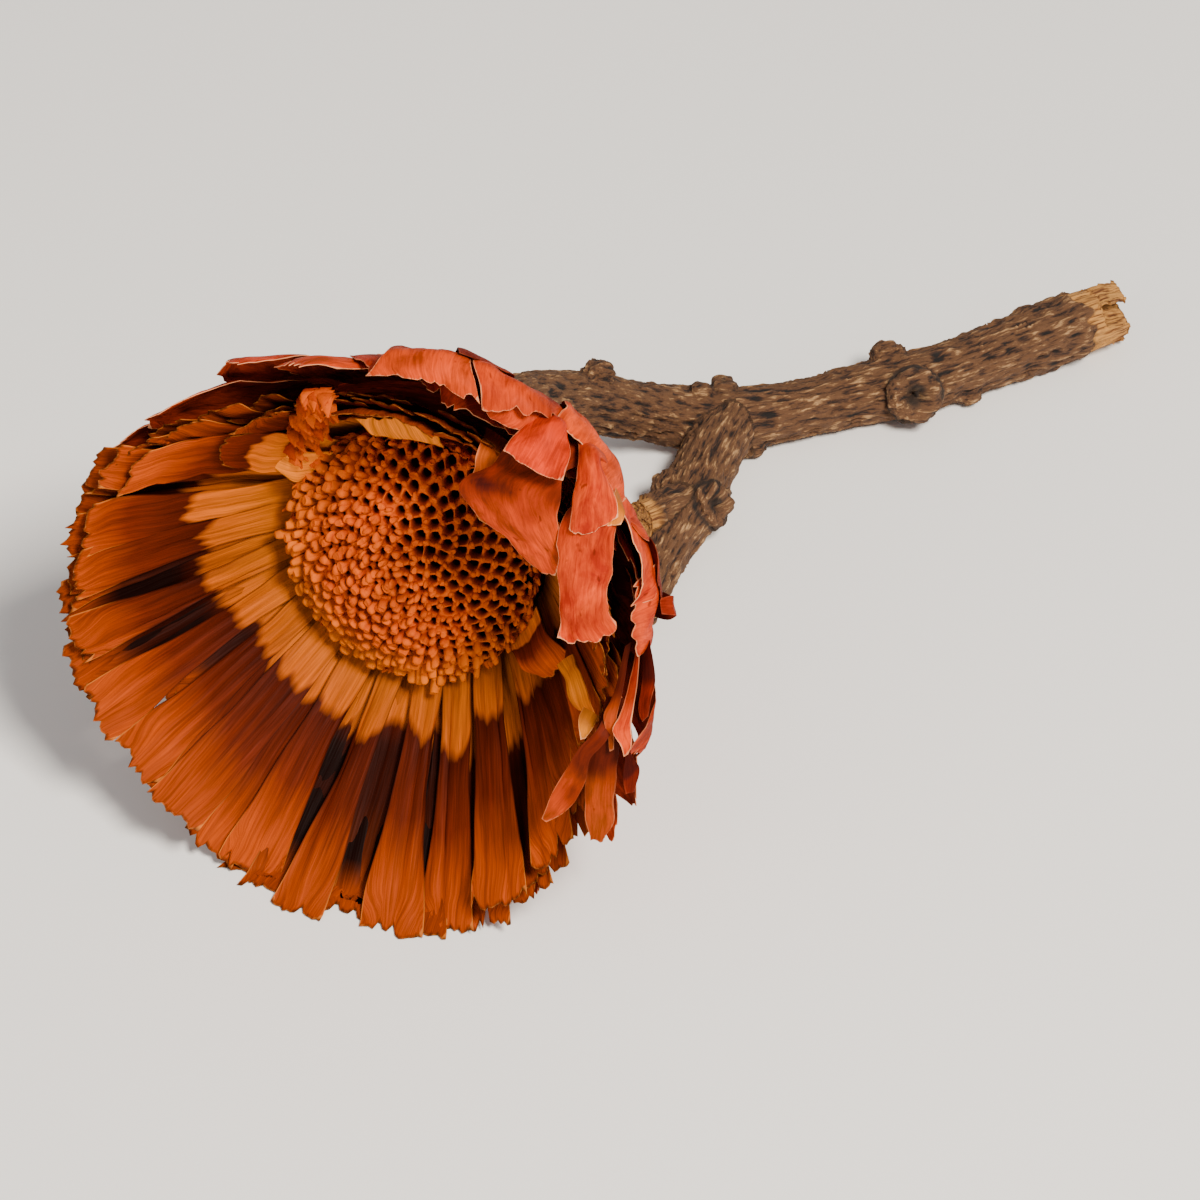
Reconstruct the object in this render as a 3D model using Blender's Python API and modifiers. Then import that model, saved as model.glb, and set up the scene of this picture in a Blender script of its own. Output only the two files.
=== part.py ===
"""Dried banksia flower: one open flower head on its own forked branch, lying on a table.

The head is a shallow bowl. A domed receptacle, pitted where its florets dropped out, is
ringed by long ray bracts, and broad papery bracts overlap round the outside of the bowl.
The branch runs along the table, forks, and one arm rises to carry the head, so the whole
flower stands on the lowest ray bracts and on the underside of the wood.

Units are metres, +Z is up, and the table is at z = 0.
"""

import math
import random

import bmesh
import bpy
from mathutils import Matrix, Vector, noise
from mathutils.geometry import delaunay_2d_cdt

MM = 0.001

# The head as a whole: how its axis lies, and where the disc's centre is over the table.
HEAD_RISE = math.radians(12.25)
HEAD_TURN = math.radians(-17.5)
HEAD_HEIGHT = 41.6 * MM
HEAD_FORWARD = 3.5 * MM

# Receptacle: the domed disc and the woody bowl under it.
DISC_RADIUS = 21.5 * MM
DOME_HEIGHT = 7.0 * MM
DISC_EDGE = 0.7 * MM
FLORET_COUNT = 170
FLORET_JITTER = 0.3 * MM
SOCKET_DEPTH = 1.6 * MM
SOCKET_WALL = 0.6 * MM
RECEPTACLE_BASE = -19.5 * MM
DISC_SKIRT = -3.0 * MM

# Ray bracts: a cone of long narrow strips from the disc's edge to the rim. A strip's share runs
# from 0 at the ring's top edge to 1 at the rim.
RIM_RADIUS = 45.0 * MM
RIM_HEIGHT = 28.0 * MM
RAY_PAIRS = 26
BACK_RAYS = 20
RAY_THICKNESS = 0.65 * MM
RAY_FIRST_LIFT = 0.65 * MM
RAY_LAYER_STEP = 0.9 * MM
RAY_LAYER_SPREAD = 0.25 * MM
LOW_RAYS_AT = math.radians(275)
LOW_RAYS_WITHIN = math.radians(55)
LOW_RAYS_LONGER = 0.15
FAR_RAYS_AT = math.radians(49)
FAR_RAYS_SHORTER = 0.29
FAR_RAYS_LEAN_IN = 3.0 * MM
RAY_RING_INNER = 22.2 * MM
RAY_RING_OUTER = 25.6 * MM
RAY_RING_BASE = -4.2 * MM
RAY_RING_TOP = 1.0 * MM
RAY_RING_SHOULDER = -1.8 * MM
# Bracts within this angle of the lowest one bend out under the head until they touch the table.
RESTING_HALF_ANGLE = math.radians(24)
FREE_HALF_ANGLE = math.radians(36)
RESTING_BEND_LIMIT = 6.0 * MM

# Outer bracts: broad scales that follow the outside of the bowl, which is given as (radius,
# height) points from the neck to the rim. These and the bracts' own sizes are in millimetres.
CUP_PROFILE = [
    (6.0, -22.0),
    (13.0, -20.0),
    (20.0, -15.0),
    (25.5, -8.5),
    (29.6, 0.0),
    (34.6, 8.0),
    (39.5, 16.0),
    (44.0, 24.0),
    (48.2, 32.0),
]
SCALE_THICKNESS = 0.65 * MM
WHORL_OPENING = math.radians(8.6)
UPPER_OPENING = math.radians(3.4)
SCALE_ROOT_DEPTH = 0.9
SECOND_LAYER_LIFT = 1.1
FOLDED_TURN = 60.0
STEM_HOLE = 5.3 * MM

# Whorls of outer bracts: count, start along the cup's profile, length, width, turn at the tip in
# degrees (outward is negative), and the shares of the length where the turn starts and ends.
SCALE_WHORLS = [
    (6, 1.5, 11.0, 10.5, -6.0, 0.5, 1.0),
    (7, 8.0, 14.0, 13.5, -4.0, 0.5, 1.0),
    (8, 14.5, 17.0, 15.5, -2.0, 0.6, 1.0),
    (9, 21.0, 20.0, 17.0, 0.0, 0.6, 1.0),
]

# Upper bracts: angle round the head, start, length, width, turn in degrees and its two shares.
# Those on the far side stand over the rim and fold in towards the disc.
UPPER_BRACTS = [
    (-51, 28.5, 36.0, 9.0, -10.0, 0.5, 1.0),
    (-37, 27.0, 38.0, 10.0, -6.0, 0.5, 1.0),
    (-23, 28.5, 38.0, 10.0, 8.0, 0.5, 1.0),
    (-8, 27.0, 40.0, 11.5, 42.0, 0.65, 0.9),
    (8, 28.5, 48.0, 13.5, 135.0, 0.56, 0.76),
    (23, 27.0, 52.0, 15.0, 138.0, 0.56, 0.74),
    (39, 28.5, 47.0, 15.5, 125.0, 0.60, 0.80),
    (55, 27.0, 52.0, 16.0, 142.0, 0.57, 0.76),
    (71, 28.5, 44.0, 16.5, 112.0, 0.64, 0.84),
    (87, 27.0, 45.0, 17.0, 108.0, 0.66, 0.86),
    (103, 28.5, 39.0, 16.5, 66.0, 0.70, 0.95),
    (119, 27.0, 38.0, 16.0, 24.0, 0.66, 1.0),
    (135, 28.5, 35.0, 15.0, -5.0, 0.5, 1.0),
    (152, 27.0, 34.0, 14.0, 2.0, 0.7, 1.0),
    (170, 28.5, 31.0, 14.0, -3.0, 0.7, 1.0),
    (190, 27.0, 30.0, 14.5, 0.0, 0.7, 1.0),
    (211, 28.5, 27.0, 14.5, 0.0, 0.7, 1.0),
    (232, 27.0, 24.0, 14.0, -12.0, 0.3, 1.0),
    (253, 28.5, 16.5, 14.0, 0.0, 0.7, 1.0),
    (273, 27.0, 17.0, 13.0, 0.0, 0.7, 1.0),
    (292, 28.5, 16.0, 12.0, 0.0, 0.7, 1.0),
]

# Branch: centreline points (x, y, z) and radius in millimetres, seen from above the table with
# the point under the disc's centre at x = 0, y = 0.
MAIN_STEM = [
    (113.6, 89.4, 6.1, 4.9),
    (108.6, 87.6, 5.9, 5.8),
    (102.0, 84.4, 5.5, 5.5),
    (94.0, 80.6, 5.0, 5.1),
    (84.4, 75.6, 4.7, 4.8),
    (77.5, 72.5, 5.0, 5.2),
    (70.0, 70.6, 4.6, 4.7),
    (60.0, 67.4, 4.5, 4.6),
    (52.0, 64.8, 4.9, 5.0),
    (45.0, 64.2, 5.1, 5.1),
    (38.0, 63.4, 6.8, 4.8),
    (31.0, 60.4, 11.0, 4.7),
    (24.0, 56.2, 16.4, 4.8),
    (17.5, 50.9, 21.8, 4.7),
    (13.2, 44.6, 26.0, 4.7),
    (11.4, 37.6, 29.2, 4.7),
]
SIDE_SHOOT = [
    (49.5, 64.6, 5.6, 4.2),
    (46.2, 58.0, 5.4, 4.9),
    (43.6, 51.0, 5.2, 5.0),
    (41.4, 44.0, 5.1, 5.2),
    (38.4, 36.6, 4.6, 4.4),
    (35.4, 29.0, 4.3, 4.1),
    (32.6, 21.6, 4.2, 4.0),
]
PRUNED_STUB = [
    (42.0, 44.0, 6.5, 3.4),
    (38.5, 40.6, 7.8, 3.3),
    (33.6, 36.6, 9.2, 3.4),
]
# Knots: centre, then half-sizes along x, y and z.
KNOTS = [
    (78.4, 69.2, 6.2, 4.9, 4.4, 4.7),
    (87.5, 73.5, 2.2, 2.4, 2.2, 1.9),
    (74.5, 75.6, 8.2, 3.0, 2.8, 2.4),
    (52.5, 61.2, 1.9, 2.4, 2.2, 1.8),
    (47.6, 66.6, 9.4, 2.3, 2.2, 1.8),
    (43.8, 65.0, 10.2, 1.9, 1.9, 1.6),
    (27.4, 59.0, 20.2, 2.6, 2.3, 1.9),
    (44.4, 43.0, 6.4, 3.6, 3.9, 4.0),
    (39.0, 46.6, 6.8, 3.2, 3.0, 3.4),
    (108.0, 84.2, 4.6, 3.0, 2.4, 3.2),
    (98.0, 84.8, 8.6, 2.6, 2.2, 1.9),
]
NECK_RADIUS = 4.7
NECK_GAP = 0.4 * MM
STEM_SIDES_RESOLUTION = 4
LARGE_KNOT = 3.2
BARK_RELIEF = 0.32 * MM
# Splits in the cut end: centre x, y, z, length, width and slope, in millimetres and degrees.
END_SPLITS = [
    (115.0, 90.0, 8.6, 13.0, 1.8, 8.0),
    (115.6, 89.0, 3.6, 9.0, 1.5, -9.0),
]
END_DIRECTION = math.radians(24.0)
SPLIT_ACROSS = 14.0 * MM

SHARP_EDGE = math.radians(30)
SEED = 1400

COLOURS = {
    "branch": ((0.160, 0.092, 0.052, 1), 0.85),
    "receptacle": ((0.430, 0.120, 0.016, 1), 0.80),
    "ray_bracts": ((0.420, 0.110, 0.016, 1), 0.60),
    "outer_bracts": ((0.560, 0.130, 0.045, 1), 0.62),
}


def clear_scene():
    """Removes every object that the start-up scene holds."""
    for old in list(bpy.data.objects):
        bpy.data.objects.remove(old)


def collection_named(name):
    """A new collection in the scene."""
    made = bpy.data.collections.new(name)
    bpy.context.scene.collection.children.link(made)
    return made


def finish_of(name):
    """The plain material of one sub-part."""
    colour, roughness = COLOURS[name]
    material = bpy.data.materials.new(name)
    material.use_nodes = True
    shader = material.node_tree.nodes["Principled BSDF"]
    shader.inputs["Base Color"].default_value = colour
    shader.inputs["Roughness"].default_value = roughness
    shader.inputs["Metallic"].default_value = 0.0
    material.diffuse_color = colour
    return material


def object_from(bm, name, collection):
    """Writes a bmesh to a new object in the collection."""
    mesh = bpy.data.meshes.new(name)
    bm.to_mesh(mesh)
    bm.free()
    made = bpy.data.objects.new(name, mesh)
    collection.objects.link(made)
    return made


def evaluated_mesh(obj):
    """The object's mesh with its modifiers applied."""
    bpy.context.view_layer.update()
    graph = bpy.context.evaluated_depsgraph_get()
    return bpy.data.meshes.new_from_object(obj.evaluated_get(graph))


def apply_modifiers(obj):
    """Puts the evaluated mesh on the object and drops its modifiers."""
    mesh = evaluated_mesh(obj)
    obj.modifiers.clear()
    obj.data = mesh


def fill_pockets(obj):
    """Drops the small closed skins inside a body, so that no pocket stays sealed in it."""
    bm = bmesh.new()
    bm.from_mesh(obj.data)
    waiting = set(bm.verts)
    skins = []
    while waiting:
        reached = {waiting.pop()}
        ahead = list(reached)
        while ahead:
            vert = ahead.pop()
            for edge in vert.link_edges:
                other = edge.other_vert(vert)
                if other in waiting:
                    waiting.discard(other)
                    reached.add(other)
                    ahead.append(other)
        skins.append(reached)
    skins.sort(key=len)
    inner = [vert for skin in skins[:-1] for vert in skin]
    bmesh.ops.delete(bm, geom=inner, context="VERTS")
    bm.to_mesh(obj.data)
    bm.free()


def join_with(body, pieces, solver="EXACT"):
    """Unions every object of the pieces collection into the body, then removes them."""
    joined = body.modifiers.new("join", "BOOLEAN")
    joined.operation = "UNION"
    joined.operand_type = "COLLECTION"
    joined.collection = pieces
    joined.solver = solver
    apply_modifiers(body)
    fill_pockets(body)
    for piece in list(pieces.objects):
        bpy.data.objects.remove(piece)
    bpy.data.collections.remove(pieces)


def cut_with(body, cutter):
    """Takes the cutter's shape out of the body for good, and keeps the cutter as a hidden guide."""
    cut = body.modifiers.new("cut", "BOOLEAN")
    cut.operation = "DIFFERENCE"
    cut.object = cutter
    cut.solver = "EXACT"
    apply_modifiers(body)


def turned(name, profile, collection, steps=48):
    """A solid or ring turned about Z from a profile that runs down its outer side."""
    bm = bmesh.new()
    ends = [bm.verts.new((radius, 0, height)) for radius, height in profile]
    for first, second in zip(ends, ends[1:]):
        bm.edges.new((first, second))
    if profile[0][0] > 1e-6:
        bm.edges.new((ends[-1], ends[0]))
    made = object_from(bm, name, collection)
    screw = made.modifiers.new("turn", "SCREW")
    screw.steps = screw.render_steps = steps
    screw.use_merge_vertices = True
    screw.merge_threshold = 1e-6
    mesh = evaluated_mesh(made)
    bpy.data.objects.remove(made)
    bm = bmesh.new()
    bm.from_mesh(mesh)
    bmesh.ops.recalc_face_normals(bm, faces=bm.faces)
    return object_from(bm, name, collection)


def blade(name, place, across, along, thickness, collection):
    """A thin bract: a grid laid on the surface that place(u, v) gives, then thickened.

    u runs from -1 to 1 across the bract, and v from 0 at its root to 1 at its tip.
    """
    bm = bmesh.new()
    bmesh.ops.create_grid(bm, x_segments=across, y_segments=along, size=1.0)
    for vert in bm.verts:
        vert.co = place(vert.co.x, (vert.co.y + 1) / 2)
    bmesh.ops.triangulate(bm, faces=bm.faces)
    made = object_from(bm, name, collection)
    skin = made.modifiers.new("thickness", "SOLIDIFY")
    skin.thickness = thickness
    skin.offset = 0.0
    apply_modifiers(made)
    return made


def smooth(x):
    """Eases from 0 to 1 as x goes from 0 to 1."""
    x = min(1.0, max(0.0, x))
    return x * x * (3 - 2 * x)


def on_head(angle, radius, height):
    """A point of the head's own frame, whose Z is the head's axis."""
    return Vector((radius * math.cos(angle), radius * math.sin(angle), height))


def height_over_table(point):
    """How far a point of the head's frame is above the table once the head is in place."""
    return HEAD_HEIGHT + point.z * math.sin(HEAD_RISE) + point.y * math.cos(HEAD_RISE)


def dome(radius):
    """Height of the disc's dome at a radius, before its sockets."""
    return DISC_EDGE + DOME_HEIGHT * (1 - (radius / DISC_RADIUS) ** 2)


def socket_centres(count):
    """Floret places in a sunflower spiral: the count inside the disc, then a ring outside it."""
    golden = math.pi * (3 - math.sqrt(5))
    spacing = DISC_RADIUS / math.sqrt(count)
    for n in range(count + 60):
        draw = random.Random(SEED + 9000 + n)
        radius = spacing * math.sqrt(n + 0.5)
        shift = Vector((draw.uniform(-1, 1), draw.uniform(-1, 1))) * FLORET_JITTER
        yield Vector((radius * math.cos(n * golden), radius * math.sin(n * golden))) + shift


def circumcentre(a, b, c):
    """The point as far from a as from b and c, in the plane."""
    d = 2 * (a.x * (b.y - c.y) + b.x * (c.y - a.y) + c.x * (a.y - b.y))
    aa, bb, cc = a.length_squared, b.length_squared, c.length_squared
    return Vector((
        (aa * (b.y - c.y) + bb * (c.y - a.y) + cc * (a.y - b.y)) / d,
        (aa * (c.x - b.x) + bb * (a.x - c.x) + cc * (b.x - a.x)) / d,
    ))


def receptacle_disc(collection):
    """The pitted dome: a cone-shaped socket for each floret, with a shared wall between them."""
    centres = list(socket_centres(FLORET_COUNT))
    points, _, triangles, *_ = delaunay_2d_cdt(centres, [], [], 0, 1e-9)
    bm = bmesh.new()
    corners = []
    for triangle in triangles:
        corner = circumcentre(*(points[i] for i in triangle))
        reach = min(corner.length, DISC_RADIUS + 0.3 * MM)
        corner = corner.normalized() * reach
        wall = dome(reach) + SOCKET_WALL
        corners.append(bm.verts.new((corner.x, corner.y, wall)))
    sharing = {}
    for index, triangle in enumerate(triangles):
        for n in range(3):
            pair = frozenset((triangle[n], triangle[n - 1]))
            sharing.setdefault(pair, []).append(index)
    floors = {}
    for n in range(FLORET_COUNT):
        point = points[n]
        floor = dome(point.length) - SOCKET_DEPTH
        floors[n] = bm.verts.new((point.x, point.y, floor))
    for pair, shared in sharing.items():
        for n in pair:
            if n in floors and len(shared) == 2:
                bm.faces.new((floors[n], corners[shared[0]], corners[shared[1]]))
    bmesh.ops.delete(bm, geom=[v for v in bm.verts if not v.link_faces], context="VERTS")
    bmesh.ops.remove_doubles(bm, verts=bm.verts, dist=0.05 * MM)
    bmesh.ops.recalc_face_normals(bm, faces=bm.faces)
    rim = [edge for edge in bm.edges if edge.is_boundary]
    skirt = bmesh.ops.extrude_edge_only(bm, edges=rim)["geom"]
    for item in skirt:
        if isinstance(item, bmesh.types.BMVert):
            item.co.z = DISC_SKIRT
    bmesh.ops.holes_fill(bm, edges=[edge for edge in bm.edges if edge.is_boundary], sides=0)
    bmesh.ops.recalc_face_normals(bm, faces=bm.faces)
    return object_from(bm, "receptacle", collection)


def build_receptacle(parts):
    """The disc on the woody bowl that carries it."""
    disc = receptacle_disc(parts)
    bowls = collection_named("receptacle bowl")
    profile = [
        (0.0, DISC_SKIRT + 1.5 * MM),
        (20.2 * MM, DISC_SKIRT + 1.5 * MM),
        (20.8 * MM, DISC_SKIRT - 1.0 * MM),
        (18.6 * MM, -10.0 * MM),
        (13.6 * MM, -16.0 * MM),
        (8.5 * MM, RECEPTACLE_BASE),
        (0.0, RECEPTACLE_BASE),
    ]
    turned("bowl", profile, bowls)
    join_with(disc, bowls)
    return disc


def ray_shape(layer, number, count):
    """The size and set of one ray bract, the same each time for the same bract."""
    draw = random.Random(SEED + 1000 * layer + number)
    step = 2 * math.pi / count
    angle = step * (number + 0.5 * layer + draw.uniform(-0.12, 0.12))
    length = draw.uniform(0.95, 1.01)
    width = draw.uniform(5.7, 7.0) * MM
    sweep = draw.uniform(-0.03, 0.03)
    twist = draw.uniform(0.01, 0.05)
    bow = draw.uniform(0.0, 0.3) * MM
    teeth = [draw.uniform(-1.9, 0.3) * MM for _ in range(4)]
    far_side = math.cos(angle - FAR_RAYS_AT)
    length -= FAR_RAYS_SHORTER * smooth((far_side + 0.06) / 0.5)
    off_low = abs(math.remainder(angle - LOW_RAYS_AT, 2 * math.pi))
    length += LOW_RAYS_LONGER * smooth(1 - off_low / LOW_RAYS_WITHIN)
    if layer == 2:
        width *= 1.15
        length *= 0.97
    return angle, length, width, sweep, twist, bow, teeth


def ray_surface(layer, number, count):
    """place(u, v) for one ray bract."""
    angle, length, width, sweep, twist, bow, teeth = ray_shape(layer, number, count)
    start = Vector((RAY_RING_INNER, 0.0))
    run = Vector((RIM_RADIUS, RIM_HEIGHT)) - start
    outward = Vector((run.y, -run.x)).normalized()
    below = abs(math.remainder(angle - math.radians(270), 2 * math.pi))
    resting = smooth((FREE_HALF_ANGLE - below) / (FREE_HALF_ANGLE - RESTING_HALF_ANGLE))
    tip = start + run * length
    gap = height_over_table(on_head(angle, tip.x, tip.y)) + 0.4 * MM
    fall = outward.x * abs(math.sin(angle)) * math.cos(HEAD_RISE)
    fall -= outward.y * math.sin(HEAD_RISE)
    bend = resting * min(max(0.0, gap / fall), RESTING_BEND_LIMIT)
    lean = smooth(0.8 * math.cos(angle - FAR_RAYS_AT) + 0.3)

    def place(u, v):
        across = 0.5 * width * (0.62 + 0.38 * smooth(v * 1.5)) * u
        share = length * v
        if v > 0.9:
            share += teeth[round((u + 1) * 1.5)] / run.length
        lift = RAY_FIRST_LIFT + layer * (RAY_LAYER_STEP + RAY_LAYER_SPREAD * v)
        lift -= FAR_RAYS_LEAN_IN * lean * v
        lift += bow * math.sin(math.pi * v) + across * math.tan(twist) * smooth(1.5 * v)
        lift += bend * v ** 2
        centre = start + run * share + outward * lift
        turn = angle + sweep * v * v + across / centre.x
        return on_head(turn, centre.x, centre.y)

    return place


def build_ray_bracts(parts):
    """Two interleaved layers of long strips and a third behind them, rooted in one ring."""
    profile = [
        (RAY_RING_INNER, RAY_RING_TOP),
        (RAY_RING_OUTER, RAY_RING_SHOULDER),
        (RAY_RING_OUTER, RAY_RING_BASE),
        (RAY_RING_INNER, RAY_RING_BASE),
    ]
    ring = turned("ray_bracts", profile, parts, steps=40)
    blades = collection_named("ray blades")
    for layer, count, steps in ((0, RAY_PAIRS, 3), (1, RAY_PAIRS, 3), (2, BACK_RAYS, 2)):
        for number in range(count):
            surface = ray_surface(layer, number, count)
            blade(f"ray {layer} {number}", surface, steps, steps, RAY_THICKNESS, blades)
    join_with(ring, blades, solver="MANIFOLD")
    return ring


def cup_at(distance):
    """(radius, height, heading) on the outside of the bowl, a distance up from the neck."""
    left = distance
    for (r0, h0), (r1, h1) in zip(CUP_PROFILE, CUP_PROFILE[1:]):
        span = math.hypot(r1 - r0, h1 - h0)
        last = (r1, h1) == CUP_PROFILE[-1]
        if left <= span or last:
            share = left / span
            heading = math.atan2(h1 - h0, r1 - r0)
            return r0 + (r1 - r0) * share, h0 + (h1 - h0) * share, heading
        left -= span
    raise ValueError("the cup's profile has no points")


def scale_surface(number, opening, raised, angle, start, length, width, bend, turn_from, turn_to):
    """place(u, v) for one outer bract that grows up the bowl and turns by bend near its tip."""
    draw = random.Random(SEED + 5000 + number)
    edge = [draw.uniform(0.82, 1.08) for _ in range(4)]
    tip_teeth = [draw.uniform(-0.09, 0.03) for _ in range(4)]
    lean = draw.uniform(-0.06, 0.06)
    sway = draw.uniform(0.05, 0.2)
    steps = 24
    radius, height, _ = cup_at(start)
    path = [(radius, height)]
    for n in range(steps):
        v = (n + 0.5) / steps
        heading = cup_at(start + v * length)[2] - opening
        heading += math.radians(bend) * smooth((v - turn_from) / (turn_to - turn_from))
        radius += math.cos(heading) * length / steps
        height += math.sin(heading) * length / steps
        path.append((radius, height))

    def along(v):
        spot = min(max(v, 0.0), 1.0) * steps
        low = min(int(spot), steps - 1)
        share = spot - low
        (r0, h0), (r1, h1) = path[low], path[low + 1]
        return r0 + (r1 - r0) * share, h0 + (h1 - h0) * share

    def place(u, v):
        column = round((u + 1) * 1.5)
        v = v * (1 - 0.14 * u * u * v) + tip_teeth[column] * smooth((v - 0.7) / 0.3)
        ovate = 0.55 + 0.60 * math.sin(math.pi * min(1.0, 0.12 + 0.78 * v)) - 0.32 * v**4
        half = 0.5 * width * ovate * edge[column]
        r, h = along(v)
        r_in, h_in = along(v - 0.02)
        r_out, h_out = along(v + 0.02)
        normal = Vector((h_out - h_in, r_in - r_out)).normalized()
        off = (sway * u - 0.2 * u * u) * smooth(2 * v) + raised * smooth(3 * v)
        off -= SCALE_ROOT_DEPTH * (1 - smooth(5 * v))
        r, h = r + normal.x * off, h + normal.y * off
        turn = angle + lean * v * v + u * half / max(r, 10.0)
        return on_head(turn, r * MM, h * MM)

    return place


def all_scales():
    """Every outer bract: number, opening, lift, angle, start, length, width and turn."""
    number = 0
    for row, (count, start, length, width, *turn) in enumerate(SCALE_WHORLS):
        for n in range(count):
            draw = random.Random(SEED + 7000 + number)
            angle = 2 * math.pi * (n + 0.5 * (row % 2) + draw.uniform(-0.08, 0.08)) / count
            stretch = draw.uniform(0.92, 1.08)
            yield (number, WHORL_OPENING, 0.0, angle, start, length * stretch, width, *turn)
            number += 1
    for degrees, *rest in UPPER_BRACTS:
        raised = SECOND_LAYER_LIFT * (number % 2)
        yield (number, UPPER_OPENING, raised, math.radians(degrees), *rest)
        number += 1


def build_outer_bracts(parts):
    """Broad scales round the outside of the bowl, rooted in the shell that their bases make."""
    outside = []
    for step in range(7):
        radius, height, _ = cup_at(2.0 + step * 4.8)
        outside.append((radius * MM, height * MM))
    profile = outside[::-1] + [
        (STEM_HOLE + 0.9 * MM, outside[0][1] - 0.6 * MM),
        (STEM_HOLE, outside[0][1] - 0.4 * MM),
        (STEM_HOLE, RECEPTACLE_BASE - 0.4 * MM),
        (9.0 * MM, RECEPTACLE_BASE - 0.4 * MM),
        (14.1 * MM, -16.2 * MM),
        (19.1 * MM, -10.0 * MM),
        (21.2 * MM, -4.7 * MM),
        (RAY_RING_OUTER + 0.4 * MM, -4.7 * MM),
        (RAY_RING_OUTER + 0.4 * MM, -2.2 * MM),
    ]
    shell = turned("outer_bracts", profile, parts, steps=32)
    blades = collection_named("outer blades")
    for number, *setting in all_scales():
        surface = scale_surface(number, *setting)
        along = 4 if setting[6] > FOLDED_TURN else 3
        blade(f"scale {number}", surface, 3, along, SCALE_THICKNESS, blades)
    join_with(shell, blades, solver="MANIFOLD")
    return shell


def tube(name, points, collection):
    """A length of wood: a round curve through the points, made a mesh and given a barky skin."""
    curve = bpy.data.curves.new(name, "CURVE")
    curve.dimensions = "3D"
    curve.bevel_depth = 1.0 * MM
    curve.bevel_resolution = STEM_SIDES_RESOLUTION
    curve.resolution_u = 2
    curve.use_fill_caps = True
    spline = curve.splines.new("NURBS")
    spline.points.add(len(points) - 1)
    spline.use_endpoint_u = True
    spline.order_u = 3
    for spot, (x, y, z, radius) in zip(spline.points, points):
        spot.co = (x * MM, y * MM, z * MM, 1)
        spot.radius = radius
    rod = bpy.data.objects.new(name, curve)
    collection.objects.link(rod)
    mesh = evaluated_mesh(rod)
    bpy.data.objects.remove(rod)
    bm = bmesh.new()
    bm.from_mesh(mesh)
    bmesh.ops.remove_doubles(bm, verts=bm.verts, dist=0.01 * MM)
    bmesh.ops.triangulate(bm, faces=bm.faces)
    bmesh.ops.recalc_face_normals(bm, faces=bm.faces)
    bm.normal_update()
    for vert in bm.verts:
        relief = noise.noise(vert.co * 260) + 0.6 * noise.noise(vert.co * 610)
        vert.co += vert.normal * BARK_RELIEF * relief
    return object_from(bm, name, collection)


def knot(number, spec, collection):
    """A rough lump where a leaf or shoot was shed."""
    x, y, z, *half = spec
    bm = bmesh.new()
    rounds = 2 if max(half) > LARGE_KNOT else 1
    bmesh.ops.create_icosphere(bm, subdivisions=rounds, radius=1.0)
    for vert in bm.verts:
        rough = 1 + 0.16 * noise.noise(vert.co * 1.9 + Vector((number, 0, 0)))
        vert.co = Vector(c * h * rough * MM for c, h in zip(vert.co, half))
        vert.co += Vector((x, y, z)) * MM
    return object_from(bm, f"knot {number}", collection)


def neck_points():
    """The last points of the rising arm, down the head's own axis to just under its base."""
    head = head_matrix()
    for below in (NECK_GAP + 9.0 * MM, NECK_GAP + 4.5 * MM, NECK_GAP):
        point = head @ Vector((0, 0, RECEPTACLE_BASE - below)) / MM
        yield (*point, NECK_RADIUS)


def head_matrix():
    """Places the head's own frame over the table."""
    turn = Matrix.Rotation(HEAD_TURN, 4, "Z")
    rise = Matrix.Rotation(math.radians(90) - HEAD_RISE, 4, "X")
    return Matrix.Translation((0, -HEAD_FORWARD, HEAD_HEIGHT)) @ turn @ rise


def guide(obj):
    """Marks an object as a cutter, which isn't part of the flower."""
    obj.hide_render = True
    obj.display_type = "WIRE"
    return obj


def build_branch(parts, guides):
    """The forked branch: stem and rising arm, side shoot, pruned stub, knots and split end."""
    branch = tube("branch", MAIN_STEM + list(neck_points()), parts)
    limbs = collection_named("branch limbs")
    tube("side shoot", SIDE_SHOOT, limbs)
    tube("pruned stub", PRUNED_STUB, limbs)
    for number, spec in enumerate(KNOTS):
        knot(number, spec, limbs)
    join_with(branch, limbs)
    for number, (x, y, z, long, wide, slope) in enumerate(END_SPLITS):
        bm = bmesh.new()
        bmesh.ops.create_cube(bm, size=1.0)
        shape = Matrix.Diagonal((long * MM, SPLIT_ACROSS, wide * MM, 1))
        bm.transform(Matrix.Rotation(math.radians(slope), 4, "Y") @ shape)
        bm.transform(Matrix.Rotation(END_DIRECTION, 4, "Z"))
        bm.transform(Matrix.Translation(Vector((x, y, z)) * MM))
        wedge = guide(object_from(bm, f"end split {number}", guides))
        cut_with(branch, wedge)
    return branch


def table_cutter(guides):
    """A slab whose top is the table, for the small flats that the flower rests on."""
    bm = bmesh.new()
    bmesh.ops.create_cube(bm, size=1.0)
    bm.transform(Matrix.Diagonal((0.5, 0.5, 0.02, 1)))
    bm.transform(Matrix.Translation((0.03, 0.03, -0.01)))
    return guide(object_from(bm, "table", guides))


def set_down(nodes, frame):
    """Moves everything so that the box round the flower has its bottom centre at the origin."""
    bpy.context.view_layer.update()
    corners = [obj.matrix_world @ vert.co for obj in nodes for vert in obj.data.vertices]
    low = Vector(min(c[n] for c in corners) for n in range(3))
    high = Vector(max(c[n] for c in corners) for n in range(3))
    frame.location = (-(low.x + high.x) / 2, -(low.y + high.y) / 2, -low.z)


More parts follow.
